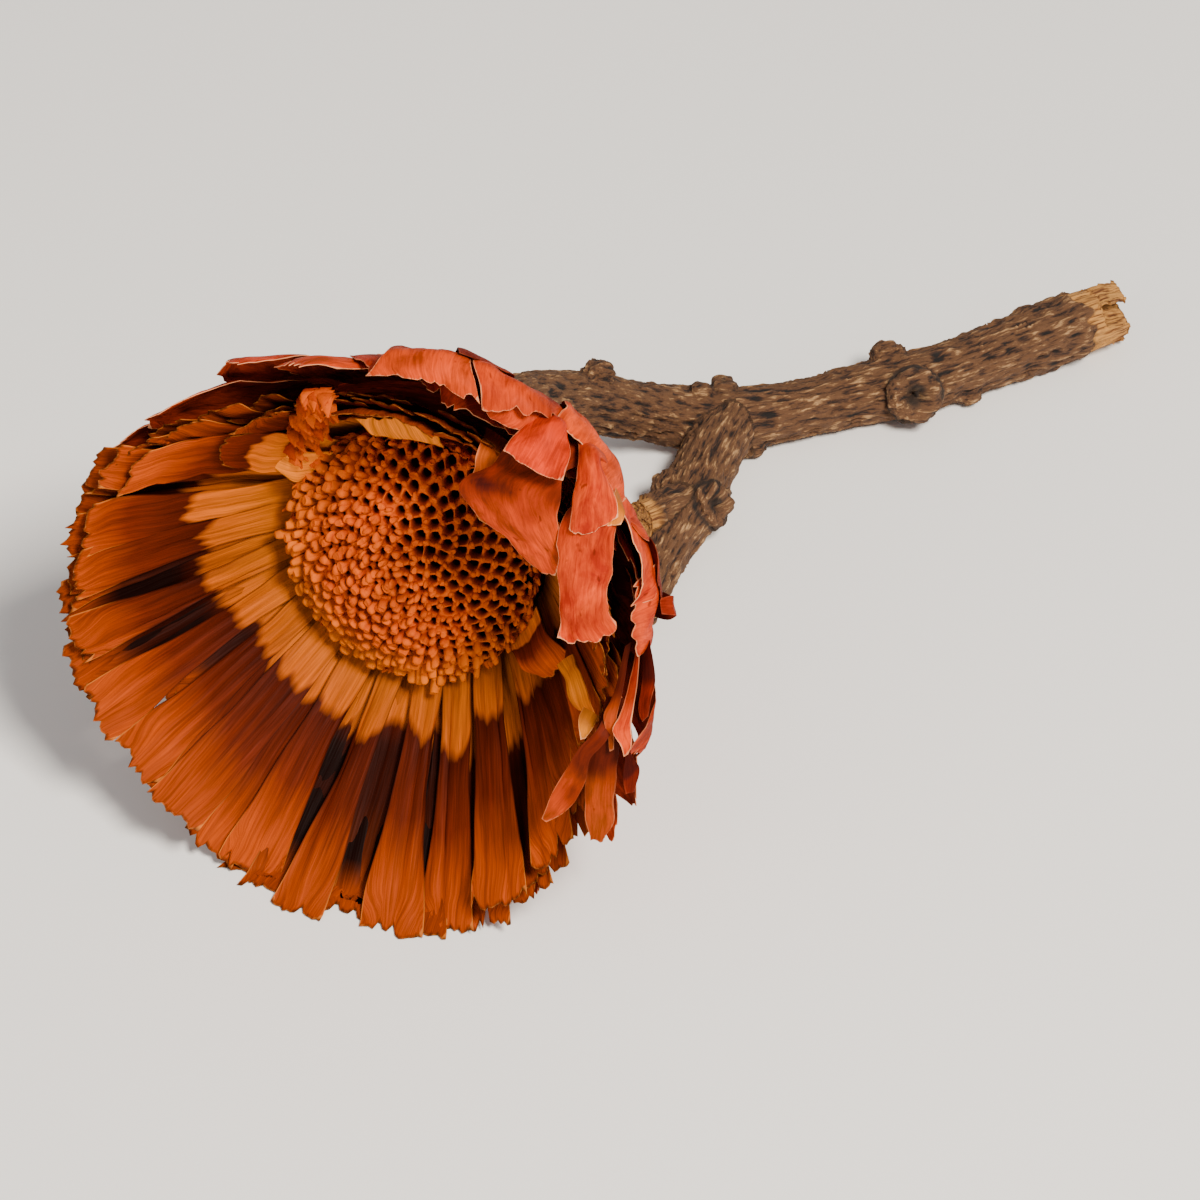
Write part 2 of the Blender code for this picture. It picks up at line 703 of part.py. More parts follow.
def main():
    """Builds the four sub-parts, seats them on the table and hangs them on one empty."""
    clear_scene()
    parts = collection_named("dried banksia flower")
    guides = collection_named("guides")
    frame = bpy.data.objects.new("flower_origin", None)
    head = bpy.data.objects.new("head_axis", None)
    parts.objects.link(frame)
    parts.objects.link(head)
    head.parent = frame
    head.matrix_basis = head_matrix()

    branch = build_branch(parts, guides)
    receptacle = build_receptacle(parts)
    rays = build_ray_bracts(parts)
    scales = build_outer_bracts(parts)
    nodes = [branch, receptacle, rays, scales]
    table = table_cutter(guides)
    for node in (receptacle, rays, scales):
        node.parent = head
    branch.parent = frame
    for node in nodes:
        cut_with(node, table)
        node.data.materials.clear()
        node.data.materials.append(finish_of(node.name))
        node.data.shade_smooth()
        node.data.set_sharp_from_angle(angle=SHARP_EDGE)
    set_down(nodes, frame)


main()
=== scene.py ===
"""Dressed model of a dried banksia flower: an open head of dry bracts on its own cut branch.

The solids give where everything is. This script puts finer pieces in their place: a pitted
disc with blunt nubs of chaff between the florets' sockets, thin fibrous ray bracts with torn
tips, papery outer bracts that fold over the far rim, and a branch with furrowed bark and a
torn end.

Sizes are in millimetres in the head's own frame, whose Z is the head's axis, and in the
branch's frame over the table. Both are turned to metres in the row frame at the end.
"""

from __future__ import annotations

import logging
import math
import random
from dataclasses import dataclass, field
from enum import Enum
from typing import Callable, Iterator

import bmesh
import bpy
import numpy as np
from mathutils import Matrix, Vector
from mathutils.geometry import delaunay_2d_cdt

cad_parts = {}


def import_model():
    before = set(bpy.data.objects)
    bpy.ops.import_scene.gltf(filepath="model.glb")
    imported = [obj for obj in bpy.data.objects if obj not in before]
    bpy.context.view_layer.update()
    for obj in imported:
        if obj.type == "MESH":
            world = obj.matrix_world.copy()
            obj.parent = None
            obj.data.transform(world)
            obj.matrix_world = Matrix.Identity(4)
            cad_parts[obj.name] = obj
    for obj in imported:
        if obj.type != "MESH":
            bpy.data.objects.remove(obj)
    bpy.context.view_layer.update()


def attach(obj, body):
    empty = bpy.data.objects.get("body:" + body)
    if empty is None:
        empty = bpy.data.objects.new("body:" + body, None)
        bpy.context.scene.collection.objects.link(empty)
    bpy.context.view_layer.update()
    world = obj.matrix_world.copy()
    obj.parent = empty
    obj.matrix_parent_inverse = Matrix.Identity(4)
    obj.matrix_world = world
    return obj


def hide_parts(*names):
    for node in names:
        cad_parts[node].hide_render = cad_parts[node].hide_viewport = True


LOG = logging.getLogger("flower")
MM = 0.001
SEED = 1400
SHARP_FROM = math.radians(62)

Point = tuple[float, float, float]
Place = Callable[[float, float], Vector]
Socket = bpy.types.NodeSocket
Value = float | Point | tuple[float, float, float, float] | Socket


class Face(Enum):
    """Which side of a bract looks out of the head, as the finish reads it."""

    OUTSIDE = 1.0
    INSIDE = 0.0


class Draws(Enum):
    """Where each kind of sub-part's own run of random numbers starts."""

    RAY_SHAPE = 0
    RAY_EDGE = 4000
    RAY_HUE = 4500
    BRACT_SHAPE = 5000
    WHORL = 7000
    BRACT_EDGE = 8000
    BRACT_HUE = 8500
    FLORET = 9000
    SOCKET = 9500
    BRISTLE = 9900
    NUB = 12000
    RIDGE = 15000

    def of(self, number: int) -> random.Random:
        """The draws of one sub-part, the same each time for the same number."""
        return random.Random(SEED + self.value + number)


def linear(code: str) -> tuple[float, float, float, float]:
    """Turns an sRGB hex colour into linear light.

    Args:
        code: the colour as "#RRGGBB".

    Returns:
        Linear red, green, blue and an alpha of 1.
    """
    parts = [int(code[n : n + 2], 16) / 255 for n in (1, 3, 5)]
    light = [p / 12.92 if p <= 0.04045 else ((p + 0.055) / 1.055) ** 2.4 for p in parts]
    return (light[0], light[1], light[2], 1.0)


def smooth(x: float | np.ndarray) -> float | np.ndarray:
    """Eases from 0 to 1 as x goes from 0 to 1."""
    x = np.clip(x, 0.0, 1.0)
    return x * x * (3 - 2 * x)


def between(angle: float, other: float) -> float:
    """How far apart two directions round the head are, in radians."""
    return abs(math.remainder(angle - other, 2 * math.pi))


def grain(points: np.ndarray, seed: int) -> np.ndarray:
    """Smooth lattice noise with one cell a unit.

    Args:
        points: coordinates, in rows of three.
        seed: picks the pattern.

    Returns:
        A value from -1 to 1 for each row.
    """
    cell = np.floor(points).astype(np.int64)
    part = points - cell
    part = part * part * (3 - 2 * part)
    total = np.zeros(len(points))
    for corner in np.ndindex(2, 2, 2):
        spot = cell + corner
        mixed = spot[:, 0] * 73856093 ^ spot[:, 1] * 19349663 ^ spot[:, 2] * 83492791 ^ seed * 2654435
        mixed = (mixed ^ (mixed >> 13)) * 1274126177 & 0x7FFFFFFF
        mixed = (mixed ^ (mixed >> 16)) & 0xFFFF
        weight = np.prod(np.where(np.array(corner) == 1, part, 1 - part), axis=1)
        total += weight * (mixed / 32767.5 - 1)
    return total


def line_grain(places: np.ndarray, seed: int) -> np.ndarray:
    """Smooth noise along a line, with one cell a unit."""
    return grain(np.column_stack([places, np.zeros_like(places), np.zeros_like(places)]), seed)


def grid_grain(grid: np.ndarray, size: float, seed: int) -> np.ndarray:
    """Smooth noise over a grid surface.

    Args:
        grid: the surface's points.
        size: how far apart the bumps are, in millimetres.
        seed: picks the pattern.

    Returns:
        A value from -1 to 1 for each point.
    """
    return grain(grid.reshape(-1, 3) / size, seed).reshape(grid.shape[:2])


def add_object(name: str, data: bpy.types.ID) -> bpy.types.Object:
    """Adds an object to the scene.

    Args:
        name: its name.
        data: its mesh, lamp or camera.

    Returns:
        The new object.
    """
    made = bpy.data.objects.new(name, data)
    bpy.context.scene.collection.objects.link(made)
    return made


def mesh_from(bm: bmesh.types.BMesh, name: str) -> bpy.types.Mesh:
    """Makes a mesh of what was modelled, and frees the model.

    Args:
        bm: the model.
        name: the mesh's name.

    Returns:
        The new mesh.
    """
    mesh = bpy.data.meshes.new(name)
    bm.to_mesh(mesh)
    bm.free()
    return mesh


@dataclass
class Shading:
    """One material, with a short method for each kind of node that the finishes are made of.

    What feeds a socket is a number, a colour, a vector or another node's output.
    """

    name: str

    def __post_init__(self) -> None:
        """Makes the material with only its Principled shader."""
        self.material = bpy.data.materials.new(self.name)
        self.material.use_nodes = True
        self.tree = self.material.node_tree
        self.shader = self.tree.nodes["Principled BSDF"]

    def feed(self, node: bpy.types.Node, sockets: dict[str | int, Value]) -> None:
        """Sets or links sockets of a node.

        Args:
            node: the node, such as the shader.
            sockets: each socket's name or number, with what feeds it.
        """
        for socket, value in sockets.items():
            if isinstance(value, Socket):
                self.tree.links.new(value, node.inputs[socket])
            else:
                node.inputs[socket].default_value = value

    def add(self, kind: str, sockets: dict[str | int, Value], **settings: str) -> bpy.types.Node:
        """Adds one node.

        Args:
            kind: the node's type name.
            sockets: each socket's name or number, with what feeds it.
            settings: its other properties.

        Returns:
            The new node.
        """
        node = self.tree.nodes.new(kind)
        for name, value in settings.items():
            setattr(node, name, value)
        self.feed(node, sockets)
        return node

    def attribute(self, name: str) -> Socket:
        """Reads one of the mesh's attributes."""
        return self.add("ShaderNodeAttribute", {}, attribute_name=name).outputs["Vector"]

    def numbers(self, name: str) -> tuple[Socket, ...]:
        """The three numbers of one of the mesh's attributes."""
        return tuple(self.add("ShaderNodeSeparateXYZ", {0: self.attribute(name)}).outputs)

    def maths(self, operation: str, *values: Value) -> Socket:
        """Works out one number from two or three others."""
        return self.add("ShaderNodeMath", dict(enumerate(values)), operation=operation).outputs[0]

    def spread(self, value: Value, start: Value, end: Value, low: float, high: float) -> Socket:
        """Turns the range from start to end to the range from low to high."""
        sockets = {"Value": value, "From Min": start, "From Max": end, "To Min": low, "To Max": high}
        return self.add("ShaderNodeMapRange", sockets).outputs[0]

    def vary(self, noise: Socket, low: float, high: float) -> Socket:
        """Turns a noise's usual range, 0.3 to 0.7, to the range from low to high."""
        return self.spread(noise, 0.3, 0.7, low, high)

    def blend(self, share: Value, first: Value, second: Value) -> Socket:
        """Blends two colours: the first where the share is 0, the second where it is 1."""
        sockets = {"Factor": share, "A": first, "B": second}
        return self.add("ShaderNodeMix", sockets, data_type="RGBA").outputs[2]

    def lighten(self, colour: Socket, factor: Socket) -> Socket:
        """Makes a colour lighter or darker by a factor."""
        return self.add("ShaderNodeVectorMath", {0: colour, "Scale": factor}, operation="SCALE").outputs[0]

    def ramp(self, value: Socket, *stops: tuple[float, str]) -> Socket:
        """Turns a number to a colour.

        Args:
            value: the number.
            stops: each stop's place and hex colour.

        Returns:
            The colour.
        """
        node = self.add("ShaderNodeValToRGB", {0: value})
        ramp = node.color_ramp.elements
        while len(ramp) < len(stops):
            ramp.new(1.0)
        for element, (place, code) in zip(ramp, stops):
            element.position = place
            element.color = linear(code)
        return node.outputs["Color"]

    def noise(self, cells: Point, detail: float, roughness: float = 0.6, bend: float = 0.0) -> Socket:
        """Noise over the tissue, by its lay attribute.

        Args:
            cells: cells a millimetre along and across a bract, and the step from bract to bract,
                or cells a millimetre in each direction of a disc or limb.
            detail: its detail.
            roughness: its roughness.
            bend: its distortion.

        Returns:
            A value about 0.5.
        """
        scaled = {0: self.attribute("lay"), 1: cells}
        place = self.add("ShaderNodeVectorMath", scaled, operation="MULTIPLY").outputs[0]
        sockets = {"Vector": place, "Scale": 1.0, "Detail": detail, "Roughness": roughness}
        return self.add("ShaderNodeTexNoise", {**sockets, "Distortion": bend}).outputs["Fac"]

    def bump(self, height: Socket, strength: float, depth_mm: float) -> Socket:
        """The normal of a surface with a fine relief."""
        sockets = {"Height": height, "Strength": strength, "Distance": depth_mm * MM}
        return self.add("ShaderNodeBump", sockets).outputs[0]


@dataclass(frozen=True)
class HeadFrame:
    """How the head lies: its axis, and where its disc's centre is over the table."""

    rise: float = math.radians(12.25)
    turn: float = math.radians(-17.5)
    height: float = 41.6
    forward: float = 3.5
    origin: Point = (-31.8538, -24.2415, 0.0)

    def on_table(self) -> Matrix:
        """Takes millimetres of the branch's frame to metres of the row frame."""
        return Matrix.Scale(MM, 4) @ Matrix.Translation(self.origin)

    def pose(self) -> Matrix:
        """How the head is set on its branch.

        Returns:
            What takes millimetres of the head's frame to those of the branch's frame.
        """
        turned = Matrix.Rotation(self.turn, 4, "Z")
        raised = Matrix.Rotation(math.radians(90) - self.rise, 4, "X")
        return Matrix.Translation((0, -self.forward, self.height)) @ turned @ raised

    def matrix(self) -> Matrix:
        """Takes millimetres of the head's frame to metres of the row frame."""
        return self.on_table() @ self.pose()

    def height_of(self, point: Vector) -> float:
        """How far a point of the head's frame is above the table."""
        return self.height + point.z * math.sin(self.rise) + point.y * math.cos(self.rise)


HEAD = HeadFrame()


def on_head(angle: float, radius: float, height: float) -> Vector:
    """A point of the head's frame from its angle in radians, radius and height."""
    return Vector((radius * math.cos(angle), radius * math.sin(angle), height))


@dataclass
class MeshPile:
    """Vertices, faces and what the finishes read, gathered until one object is made of them.

    A bract's lay is the place along and across it in millimetres, with a number that differs
    from bract to bract. Its tone is the share of the length, the distance from the nearest edge
    in millimetres, and which face it is. hue holds what sets its colour from another's.
    """

    points: list[np.ndarray] = field(default_factory=list)
    faces: list[np.ndarray] = field(default_factory=list)
    lay: list[np.ndarray] = field(default_factory=list)
    tone: list[np.ndarray] = field(default_factory=list)
    hue: list[np.ndarray] = field(default_factory=list)
    count: int = 0

    def add(self, points: np.ndarray, faces: np.ndarray, lay: np.ndarray, tone: np.ndarray,
            hue: Point | np.ndarray = (0.0, 0.0, 0.0)) -> None:
        """Adds one closed body.

        Args:
            points: its vertices.
            faces: its quads or triangles, by vertex number.
            lay: what each vertex has in the lay attribute.
            tone: what each vertex has in the tone attribute.
            hue: what all its vertices, or each of them, have in the hue attribute.
        """
        self.points.append(points)
        self.faces.append(faces + self.count)
        self.lay.append(lay)
        self.tone.append(tone)
        self.hue.append(np.broadcast_to(hue, (len(points), 3)))
        self.count += len(points)

    def make(self, name: str, matrix: Matrix, material: bpy.types.Material) -> bpy.types.Object:
        """Makes the object.

        Args:
            name: the piece's name.
            matrix: takes the pile's millimetres to the row frame.
            material: the piece's finish.

        Returns:
            The new object, smooth shaded.
        """
        mesh = bpy.data.meshes.new(name)
        faces = [face.tolist() for block in self.faces for face in block]
        mesh.from_pydata(np.concatenate(self.points).tolist(), [], faces)
        for label, blocks in (("lay", self.lay), ("tone", self.tone), ("hue", self.hue)):
            made = mesh.attributes.new(label, "FLOAT_VECTOR", "POINT")
            made.data.foreach_set("vector", np.concatenate(blocks).astype(np.float32).ravel())
        mesh.transform(matrix)
        mesh.validate()
        mesh.shade_smooth()
        mesh.set_sharp_from_angle(angle=SHARP_FROM)
        mesh.materials.append(material)
        LOG.info("%s: %d faces", name, len(mesh.polygons))
        return add_object(name, mesh)


def grid_faces(rows: int, columns: int, flip: bool = False, start: int = 0) -> np.ndarray:
    """The quads of a grid of vertices.

    Args:
        rows: vertex rows.
        columns: vertices in a row.
        flip: whether the quads face the other way.
        start: the first vertex's number.

    Returns:
        The quads, four vertex numbers a row.
    """
    j, i = np.meshgrid(np.arange(rows - 1), np.arange(columns - 1), indexing="ij")
    first = (start + j * columns + i).ravel()
    ring = [first, first + 1, first + 1 + columns, first + columns]
    return np.stack(ring[::-1] if flip else ring, axis=1)


def ring_faces(rows: int, columns: int) -> np.ndarray:
    """The quads between closed rings of vertices.

    Args:
        rows: the rings.
        columns: vertices in a ring.

    Returns:
        The quads, four vertex numbers a row.
    """
    numbers = np.arange(rows * columns).reshape(rows, columns)
    beside = np.roll(numbers, -1, axis=1)
    return np.stack([numbers[:-1], beside[:-1], beside[1:], numbers[1:]], axis=2).reshape(-1, 4)


def normals_of(grid: np.ndarray) -> np.ndarray:
    """Measures which way a grid surface faces.

    Args:
        grid: the surface's points.

    Returns:
        Each point's unit normal, across cross along.
    """
    along = np.gradient(grid, axis=0)
    across = np.gradient(grid, axis=1)
    normal = np.cross(across, along)
    size = np.linalg.norm(normal, axis=2, keepdims=True)
    return normal / np.maximum(size, 1e-9)


def crumple(grid: np.ndarray, depth: float, size: float, seed: int) -> np.ndarray:
    """Pushes a grid surface in and out by noise.

    Args:
        grid: the surface's points.
        depth: how far it moves, in millimetres.
        size: how far apart the bumps are, in millimetres.
        seed: picks the pattern.

    Returns:
        The crumpled points.
    """
    return grid + normals_of(grid) * (depth * grid_grain(grid, size, seed))[..., None]


def spans_of(grid: np.ndarray) -> tuple[np.ndarray, np.ndarray, np.ndarray]:
    """Measures a grid surface with its root in the first row.

    Args:
        grid: the surface's points.

    Returns:
        For each point, the distance along from the root, the distance across from the first
        column and the distance from the nearest free edge, in millimetres.
    """
    rows, columns = grid.shape[:2]
    spans = np.linalg.norm(np.diff(grid, axis=0), axis=2)
    along = np.concatenate([np.zeros((1, columns)), np.cumsum(spans, axis=0)])
    steps = np.linalg.norm(np.diff(grid, axis=1), axis=2)
    across = np.concatenate([np.zeros((rows, 1)), np.cumsum(steps, axis=1)], axis=1)
    edge = np.minimum(np.minimum(across, across[:, -1:] - across), along[-1:] - along)
    return along, across, edge


def curl(grid: np.ndarray, height: float, reach: float, seed: int) -> np.ndarray:
    """Turns a surface's free edges up to its outside, more in some places than in others.

    Args:
        grid: the surface's points.
        height: how far the edges rise, in millimetres.
        reach: how far from the edge it starts, in millimetres.
        seed: picks the pattern.

    Returns:
        The curled points.
    """
    edge = spans_of(grid)[2]
    uneven = 0.35 + grid_grain(grid, 7.0, seed)
    return grid + normals_of(grid) * (height * uneven * (1 - smooth(edge / reach)))[..., None]


def add_sheet(pile: MeshPile, grid: np.ndarray, thickness: float, seed: float,
              hue: Point | np.ndarray = (0.0, 0.0, 0.0)) -> None:
    """Thickens a grid surface to a thin closed sheet, thinnest at its edges.

    Args:
        pile: what the sheet is added to.
        grid: the middle surface, with rows along the sheet and its outside where across cross
            along points.
        thickness: in the middle, in millimetres.
        seed: the number that tells this bract from the others.
        hue: what sets its colour from the others', for the sheet or for each point.
    """
    rows, columns = grid.shape[:2]
    along, across, edge = spans_of(grid)
    width = across[:, -1:]
    length = along[-1:]
    half = thickness * (0.35 + 0.65 * smooth(edge / 0.9)) / 2
    normal = normals_of(grid)
    points, lay, tone = [], [], []
    share = along / np.maximum(length, 1e-9)
    for side, sign in ((Face.OUTSIDE, 1), (Face.INSIDE, -1)):
        points.append((grid + normal * (half * sign)[..., None]).reshape(-1, 3))
        lay.append(np.stack([along, across - width / 2, np.full_like(along, seed)], 2).reshape(-1, 3))
        tone.append(np.stack([share, edge, np.full_like(along, side.value)], 2).reshape(-1, 3))
    count = rows * columns
    numbers = np.arange(count).reshape(rows, columns)
    loop = np.concatenate([numbers[0], numbers[1:, -1], numbers[-1, -2::-1], numbers[-2:0:-1, 0]])
    following = np.roll(loop, -1)
    border = np.stack([loop, loop + count, following + count, following], axis=1)
    faces = [grid_faces(rows, columns), grid_faces(rows, columns, True, count), border]
    tint = np.broadcast_to(hue, grid.shape).reshape(-1, 3)
    pile.add(np.concatenate(points), np.concatenate(faces), np.concatenate(lay), np.concatenate(tone),
             np.concatenate([tint, tint]))


def above_table(grid: np.ndarray) -> np.ndarray:
    """Raises the points of a surface that would lie below the table's top.

    Args:
        grid: the surface's points in the head's frame.

    Returns:
        The points, none of them lower than the clearance.
    """
    clearance = 0.35
    height = HEAD.height + grid[..., 2] * math.sin(HEAD.rise) + grid[..., 1] * math.cos(HEAD.rise)
    short = np.maximum(clearance - height, 0)
    return grid + short[..., None] * np.array((0, math.cos(HEAD.rise), math.sin(HEAD.rise)))


def sampled(place: Place, across: int, along: int) -> np.ndarray:
    """Reads a place on a grid.

    Args:
        place: a function of u from -1 to 1 across and v from 0 to 1 along.
        across: steps across.
        along: steps along.

    Returns:
        The points, a row for each step along.
    """
    rows = []
    for j in range(along + 1):
        rows.append([place(-1 + 2 * i / across, j / along) for i in range(across + 1)])
    return np.array(rows, float)


def loft(rows: tuple, columns: int, along: int) -> np.ndarray:
    """A smooth surface through rows of points, each a straight or bowed line of two or three.

    Args:
        rows: each row's points as angle in degrees, radius and height of the head's frame.
        columns: steps across.
        along: steps from the first row to the last.

    Returns:
        The surface's points, a row of the grid for each step along.
    """
    u = np.linspace(0, 1, columns + 1)[:, None]
    lines = []
    for row in rows:
        spots = [np.array(on_head(math.radians(a), r, h)) for a, r, h in row]
        if len(spots) == 2:
            spots.insert(1, (spots[0] + spots[1]) / 2)
        left, middle, right = spots
        lines.append((1 - u) * (1 - 2 * u) * left + 4 * u * (1 - u) * middle + u * (2 * u - 1) * right)
    lines = np.array(lines)
    gaps = np.linalg.norm(np.diff(lines, axis=0), axis=2).mean(axis=1)
    marks = np.concatenate([[0], np.cumsum(gaps)])
    slopes = np.gradient(lines, marks, axis=0)
    grid = []
    for at in np.linspace(0, marks[-1], along + 1):
        n = min(int(np.searchsorted(marks, at, side="right")) - 1, len(rows) - 2)
        span = marks[n + 1] - marks[n]
        t = (at - marks[n]) / span
        grid.append(
            (2 * t**3 - 3 * t**2 + 1) * lines[n] + (t**3 - 2 * t**2 + t) * span * slopes[n]
            + (3 * t**2 - 2 * t**3) * lines[n + 1] + (t**3 - t**2) * span * slopes[n + 1]
        )
    return np.array(grid)


def tear(grid: np.ndarray, depth: float, size: float, seed: int) -> np.ndarray:
    """Makes a surface's free edges ragged by sliding its points towards its root and middle.

    Args:
        grid: the surface's points, with its root in the first row.
        depth: how deep the notches are, in millimetres.
        size: how far apart they are, in millimetres.
        seed: picks the pattern.

    Returns:
        The same number of points, on the same surface.
    """
    rows, columns = grid.shape[:2]
    width = np.linalg.norm(np.diff(grid, axis=1), axis=2).sum(axis=1)
    length = np.linalg.norm(np.diff(grid, axis=0), axis=2).sum(axis=0)
    u = np.linspace(-1, 1, columns)
    v = np.linspace(0, 1, rows)
    tip = line_grain(u * width[-1] / (2 * size), seed)
    tip += 0.6 * line_grain(u * width[-1] / (0.8 * size), seed + 1)
    near_tip = smooth(2.2 * v[:, None] - 1.2)
    share = 1 - np.clip(0.35 + 0.75 * tip, 0, 2)[None, :] * depth / length * near_tip
    inset = []
    for side in (2, 3):
        rough = np.clip(0.3 + 0.7 * line_grain(v * length.mean() / (1.6 * size), seed + side), 0, 2)
        inset.append(rough * 0.6 * depth / np.maximum(width, 1e-6) * smooth(3 * v))
    across = np.where(u[None, :] < 0, 1 - 2 * inset[0][:, None], 1 - 2 * inset[1][:, None]) * u[None, :]
    j = np.clip(v[:, None] * share, 0, 1) * (rows - 1)
    i = (across + 1) / 2 * (columns - 1)
    j0 = np.minimum(j.astype(int), rows - 2)
    i0 = np.minimum(i.astype(int), columns - 2)
    fj, fi = (j - j0)[..., None], (i - i0)[..., None]
    near = grid[j0, i0] * (1 - fi) + grid[j0, i0 + 1] * fi
    far = grid[j0 + 1, i0] * (1 - fi) + grid[j0 + 1, i0 + 1] * fi
    return near * (1 - fj) + far * fj


@dataclass(frozen=True)
class RayFinish:
    """Dried ray bracts: stiff lignified strips, air dried, golden where they were shaded.

    The eye sees long parallel fibres, a golden root with a lobed border, then deep maroon that
    lightens to orange at the torn tip, thin pale edges with dark hooks, and a dull sheen.
    The hue attribute holds the bract's brightness, the share where its gold ends, and how much
    painted shade darkens it where it lies deep in the head, behind other bracts.
    """

    name: str = "dried ray bract"
    gold: str = "#B05E08"
    ochre: str = "#A84E04"
    maroon: str = "#3F0E01"
    rust: str = "#5C1A01"
    orange: str = "#9A3A02"
    edge: str = "#D07A30"
    hook: str = "#1E0803"
    # Near-black painted shade, for bracts that lie deep in the head and for the line along the edges where
    # bracts meet.
    painted_shade_colour: str = "#120200"
    fibre_mm: float = 0.30
    strand_mm: float = 0.95
    lobe_mm: float = 2.6
    lobe_share: float = 0.20
    relief_mm: float = 0.12
    specular: float = 0.06

    def material(self) -> bpy.types.Material:
        """Builds the material.

        Returns:
            The material, which reads the lay, tone and hue attributes.
        """
        made = Shading(self.name)
        share, edge, _ = made.numbers("tone")
        bright, gold_end, depth = made.numbers("hue")
        fibres = made.noise((0.11, 1 / self.fibre_mm, 37.0), 3.0)
        strands = made.noise((0.05, 1 / self.strand_mm, 37.0), 2.0)
        lobes = made.noise((0.03, 1 / self.lobe_mm, 37.0), 1.5)
        # The gold reaches furthest in broad lobes, and a little further along a bract's middle.
        middle = made.spread(edge, 0.0, 1.2, 0.018, -0.012)
        lobed = made.maths("MULTIPLY_ADD", lobes, self.lobe_share, middle)
        frayed = made.maths("MULTIPLY_ADD", fibres, 0.03, lobed)
        past_gold = made.maths("ADD", made.maths("SUBTRACT", share, gold_end), frayed)
        along = made.ramp(
            made.maths("MULTIPLY_ADD", past_gold, 0.9, 0.40),
            (0.0, self.gold), (0.46, self.ochre), (0.50, self.maroon), (0.74, self.rust),
            (0.96, self.orange),
        )
        streaks = made.maths("MULTIPLY", made.vary(fibres, 0.70, 1.22), made.vary(strands, 0.72, 1.26))
        streaked = made.lighten(along, made.maths("MULTIPLY", streaks, bright))
        # Painted shade darkens the bracts that lie deep in the head, by the hue's third number.
        with_painted_shade = made.blend(depth, streaked, linear(self.painted_shade_colour))
        # The thin edge has a dark line of painted shade where neighbouring bracts meet, and is pale near
        # the tip.
        near_tip = made.spread(share, 0.80, 0.95, 0.0, 1.0)
        fringe = made.blend(near_tip, linear(self.painted_shade_colour), linear(self.edge))
        edged = made.blend(made.spread(edge, 0.02, 0.22, 0.6, 0.0), with_painted_shade, fringe)
        hooked = made.maths("MULTIPLY_ADD", strands, 0.055, share)
        tipped = made.blend(made.spread(hooked, 1.012, 1.03, 0.0, 0.85), edged, linear(self.hook))
        relief = made.maths("MULTIPLY_ADD", strands, 2.0, fibres)
        made.feed(made.shader, {
            "Base Color": tipped, "Roughness": made.vary(fibres, 0.75, 0.52),
            "Normal": made.bump(relief, 0.75, self.relief_mm), "IOR": 1.5,
            "Specular IOR Level": self.specular,
        })
        return made.material


@dataclass(frozen=True)
class PaperyFinish:
    """Dried outer bracts: leathery tissue, air dried, that curled and cracked.

    The eye sees a salmon to orange outside with soft blotches, fine veins and a few dark
    flecks, a darker maroon inside, and pale torn edges where the thin tissue lets light
    through. The hue attribute holds how pink, how ochre and how dark the bract is: its own
    darker tone, together with painted shade before a fold.
    """

    name: str = "dried outer bract"
    salmon: str = "#DC460A"
    salmon_deep: str = "#A02002"
    orange: str = "#E23800"
    brick: str = "#8C1C00"
    ochre: str = "#CC7410"
    maroon: str = "#3C0903"
    inner: str = "#B4380A"
    edge: str = "#F0A878"
    fleck: str = "#4A1206"
    vein_mm: float = 0.6
    blotch_mm: float = 6.0
    fleck_mm: float = 1.4
    relief_mm: float = 0.18
    specular: float = 0.08

    def material(self) -> bpy.types.Material:
        """Builds the material.

        Returns:
            The material, which reads the lay, tone and hue attributes.
        """
        made = Shading(self.name)
        _, edge, side = made.numbers("tone")
        pinkness, tan, dark = made.numbers("hue")
        veins = made.noise((0.22, 1 / self.vein_mm, 31.0), 4.0, bend=0.9)
        blotch = made.noise((1 / self.blotch_mm, 1.5 / self.blotch_mm, 17.0), 5.0, bend=0.4)
        flecks = made.noise((0.7 / self.fleck_mm, 1 / self.fleck_mm, 23.0), 1.0, bend=0.2)
        mottled = made.maths("MULTIPLY_ADD", veins, 0.25, blotch)
        pink = made.ramp(mottled, (0.46, self.salmon_deep), (0.74, self.salmon))
        orange = made.ramp(mottled, (0.46, self.brick), (0.74, self.orange))
        inside = made.ramp(mottled, (0.42, self.maroon), (0.72, self.inner))
        outside = made.blend(tan, made.blend(pinkness, orange, pink), linear(self.ochre))
        # The hue's dark share blends in maroon: the bract's own darker tone, and painted shade before a
        # fold.
        darkened = made.blend(dark, made.blend(side, inside, outside), linear(self.maroon))
        streaked = made.lighten(darkened, made.vary(veins, 0.76, 1.16))
        flecked = made.blend(made.spread(flecks, 0.70, 0.76, 0.0, 0.6), streaked, linear(self.fleck))
        # The rim is pale, to a depth that follows the veins, and fainter on dark tissue.
        rim_reach = made.spread(veins, 0.40, 0.66, 0.04, 0.34)
        rim = made.spread(edge, 0.01, rim_reach, 0.85, 0.0)
        fainter = made.maths("POWER", made.maths("SUBTRACT", 1.0, dark), 2.0)
        edged = made.blend(made.maths("MULTIPLY", rim, fainter), flecked, linear(self.edge))
        wrinkled = made.maths("MULTIPLY_ADD", blotch, 0.6, veins)
        made.feed(made.shader, {
            "Base Color": edged, "Roughness": made.vary(blotch, 0.72, 0.55),
            "Normal": made.bump(wrinkled, 0.6, self.relief_mm), "IOR": 1.5,
            "Specular IOR Level": self.specular,
        })
        return made.material


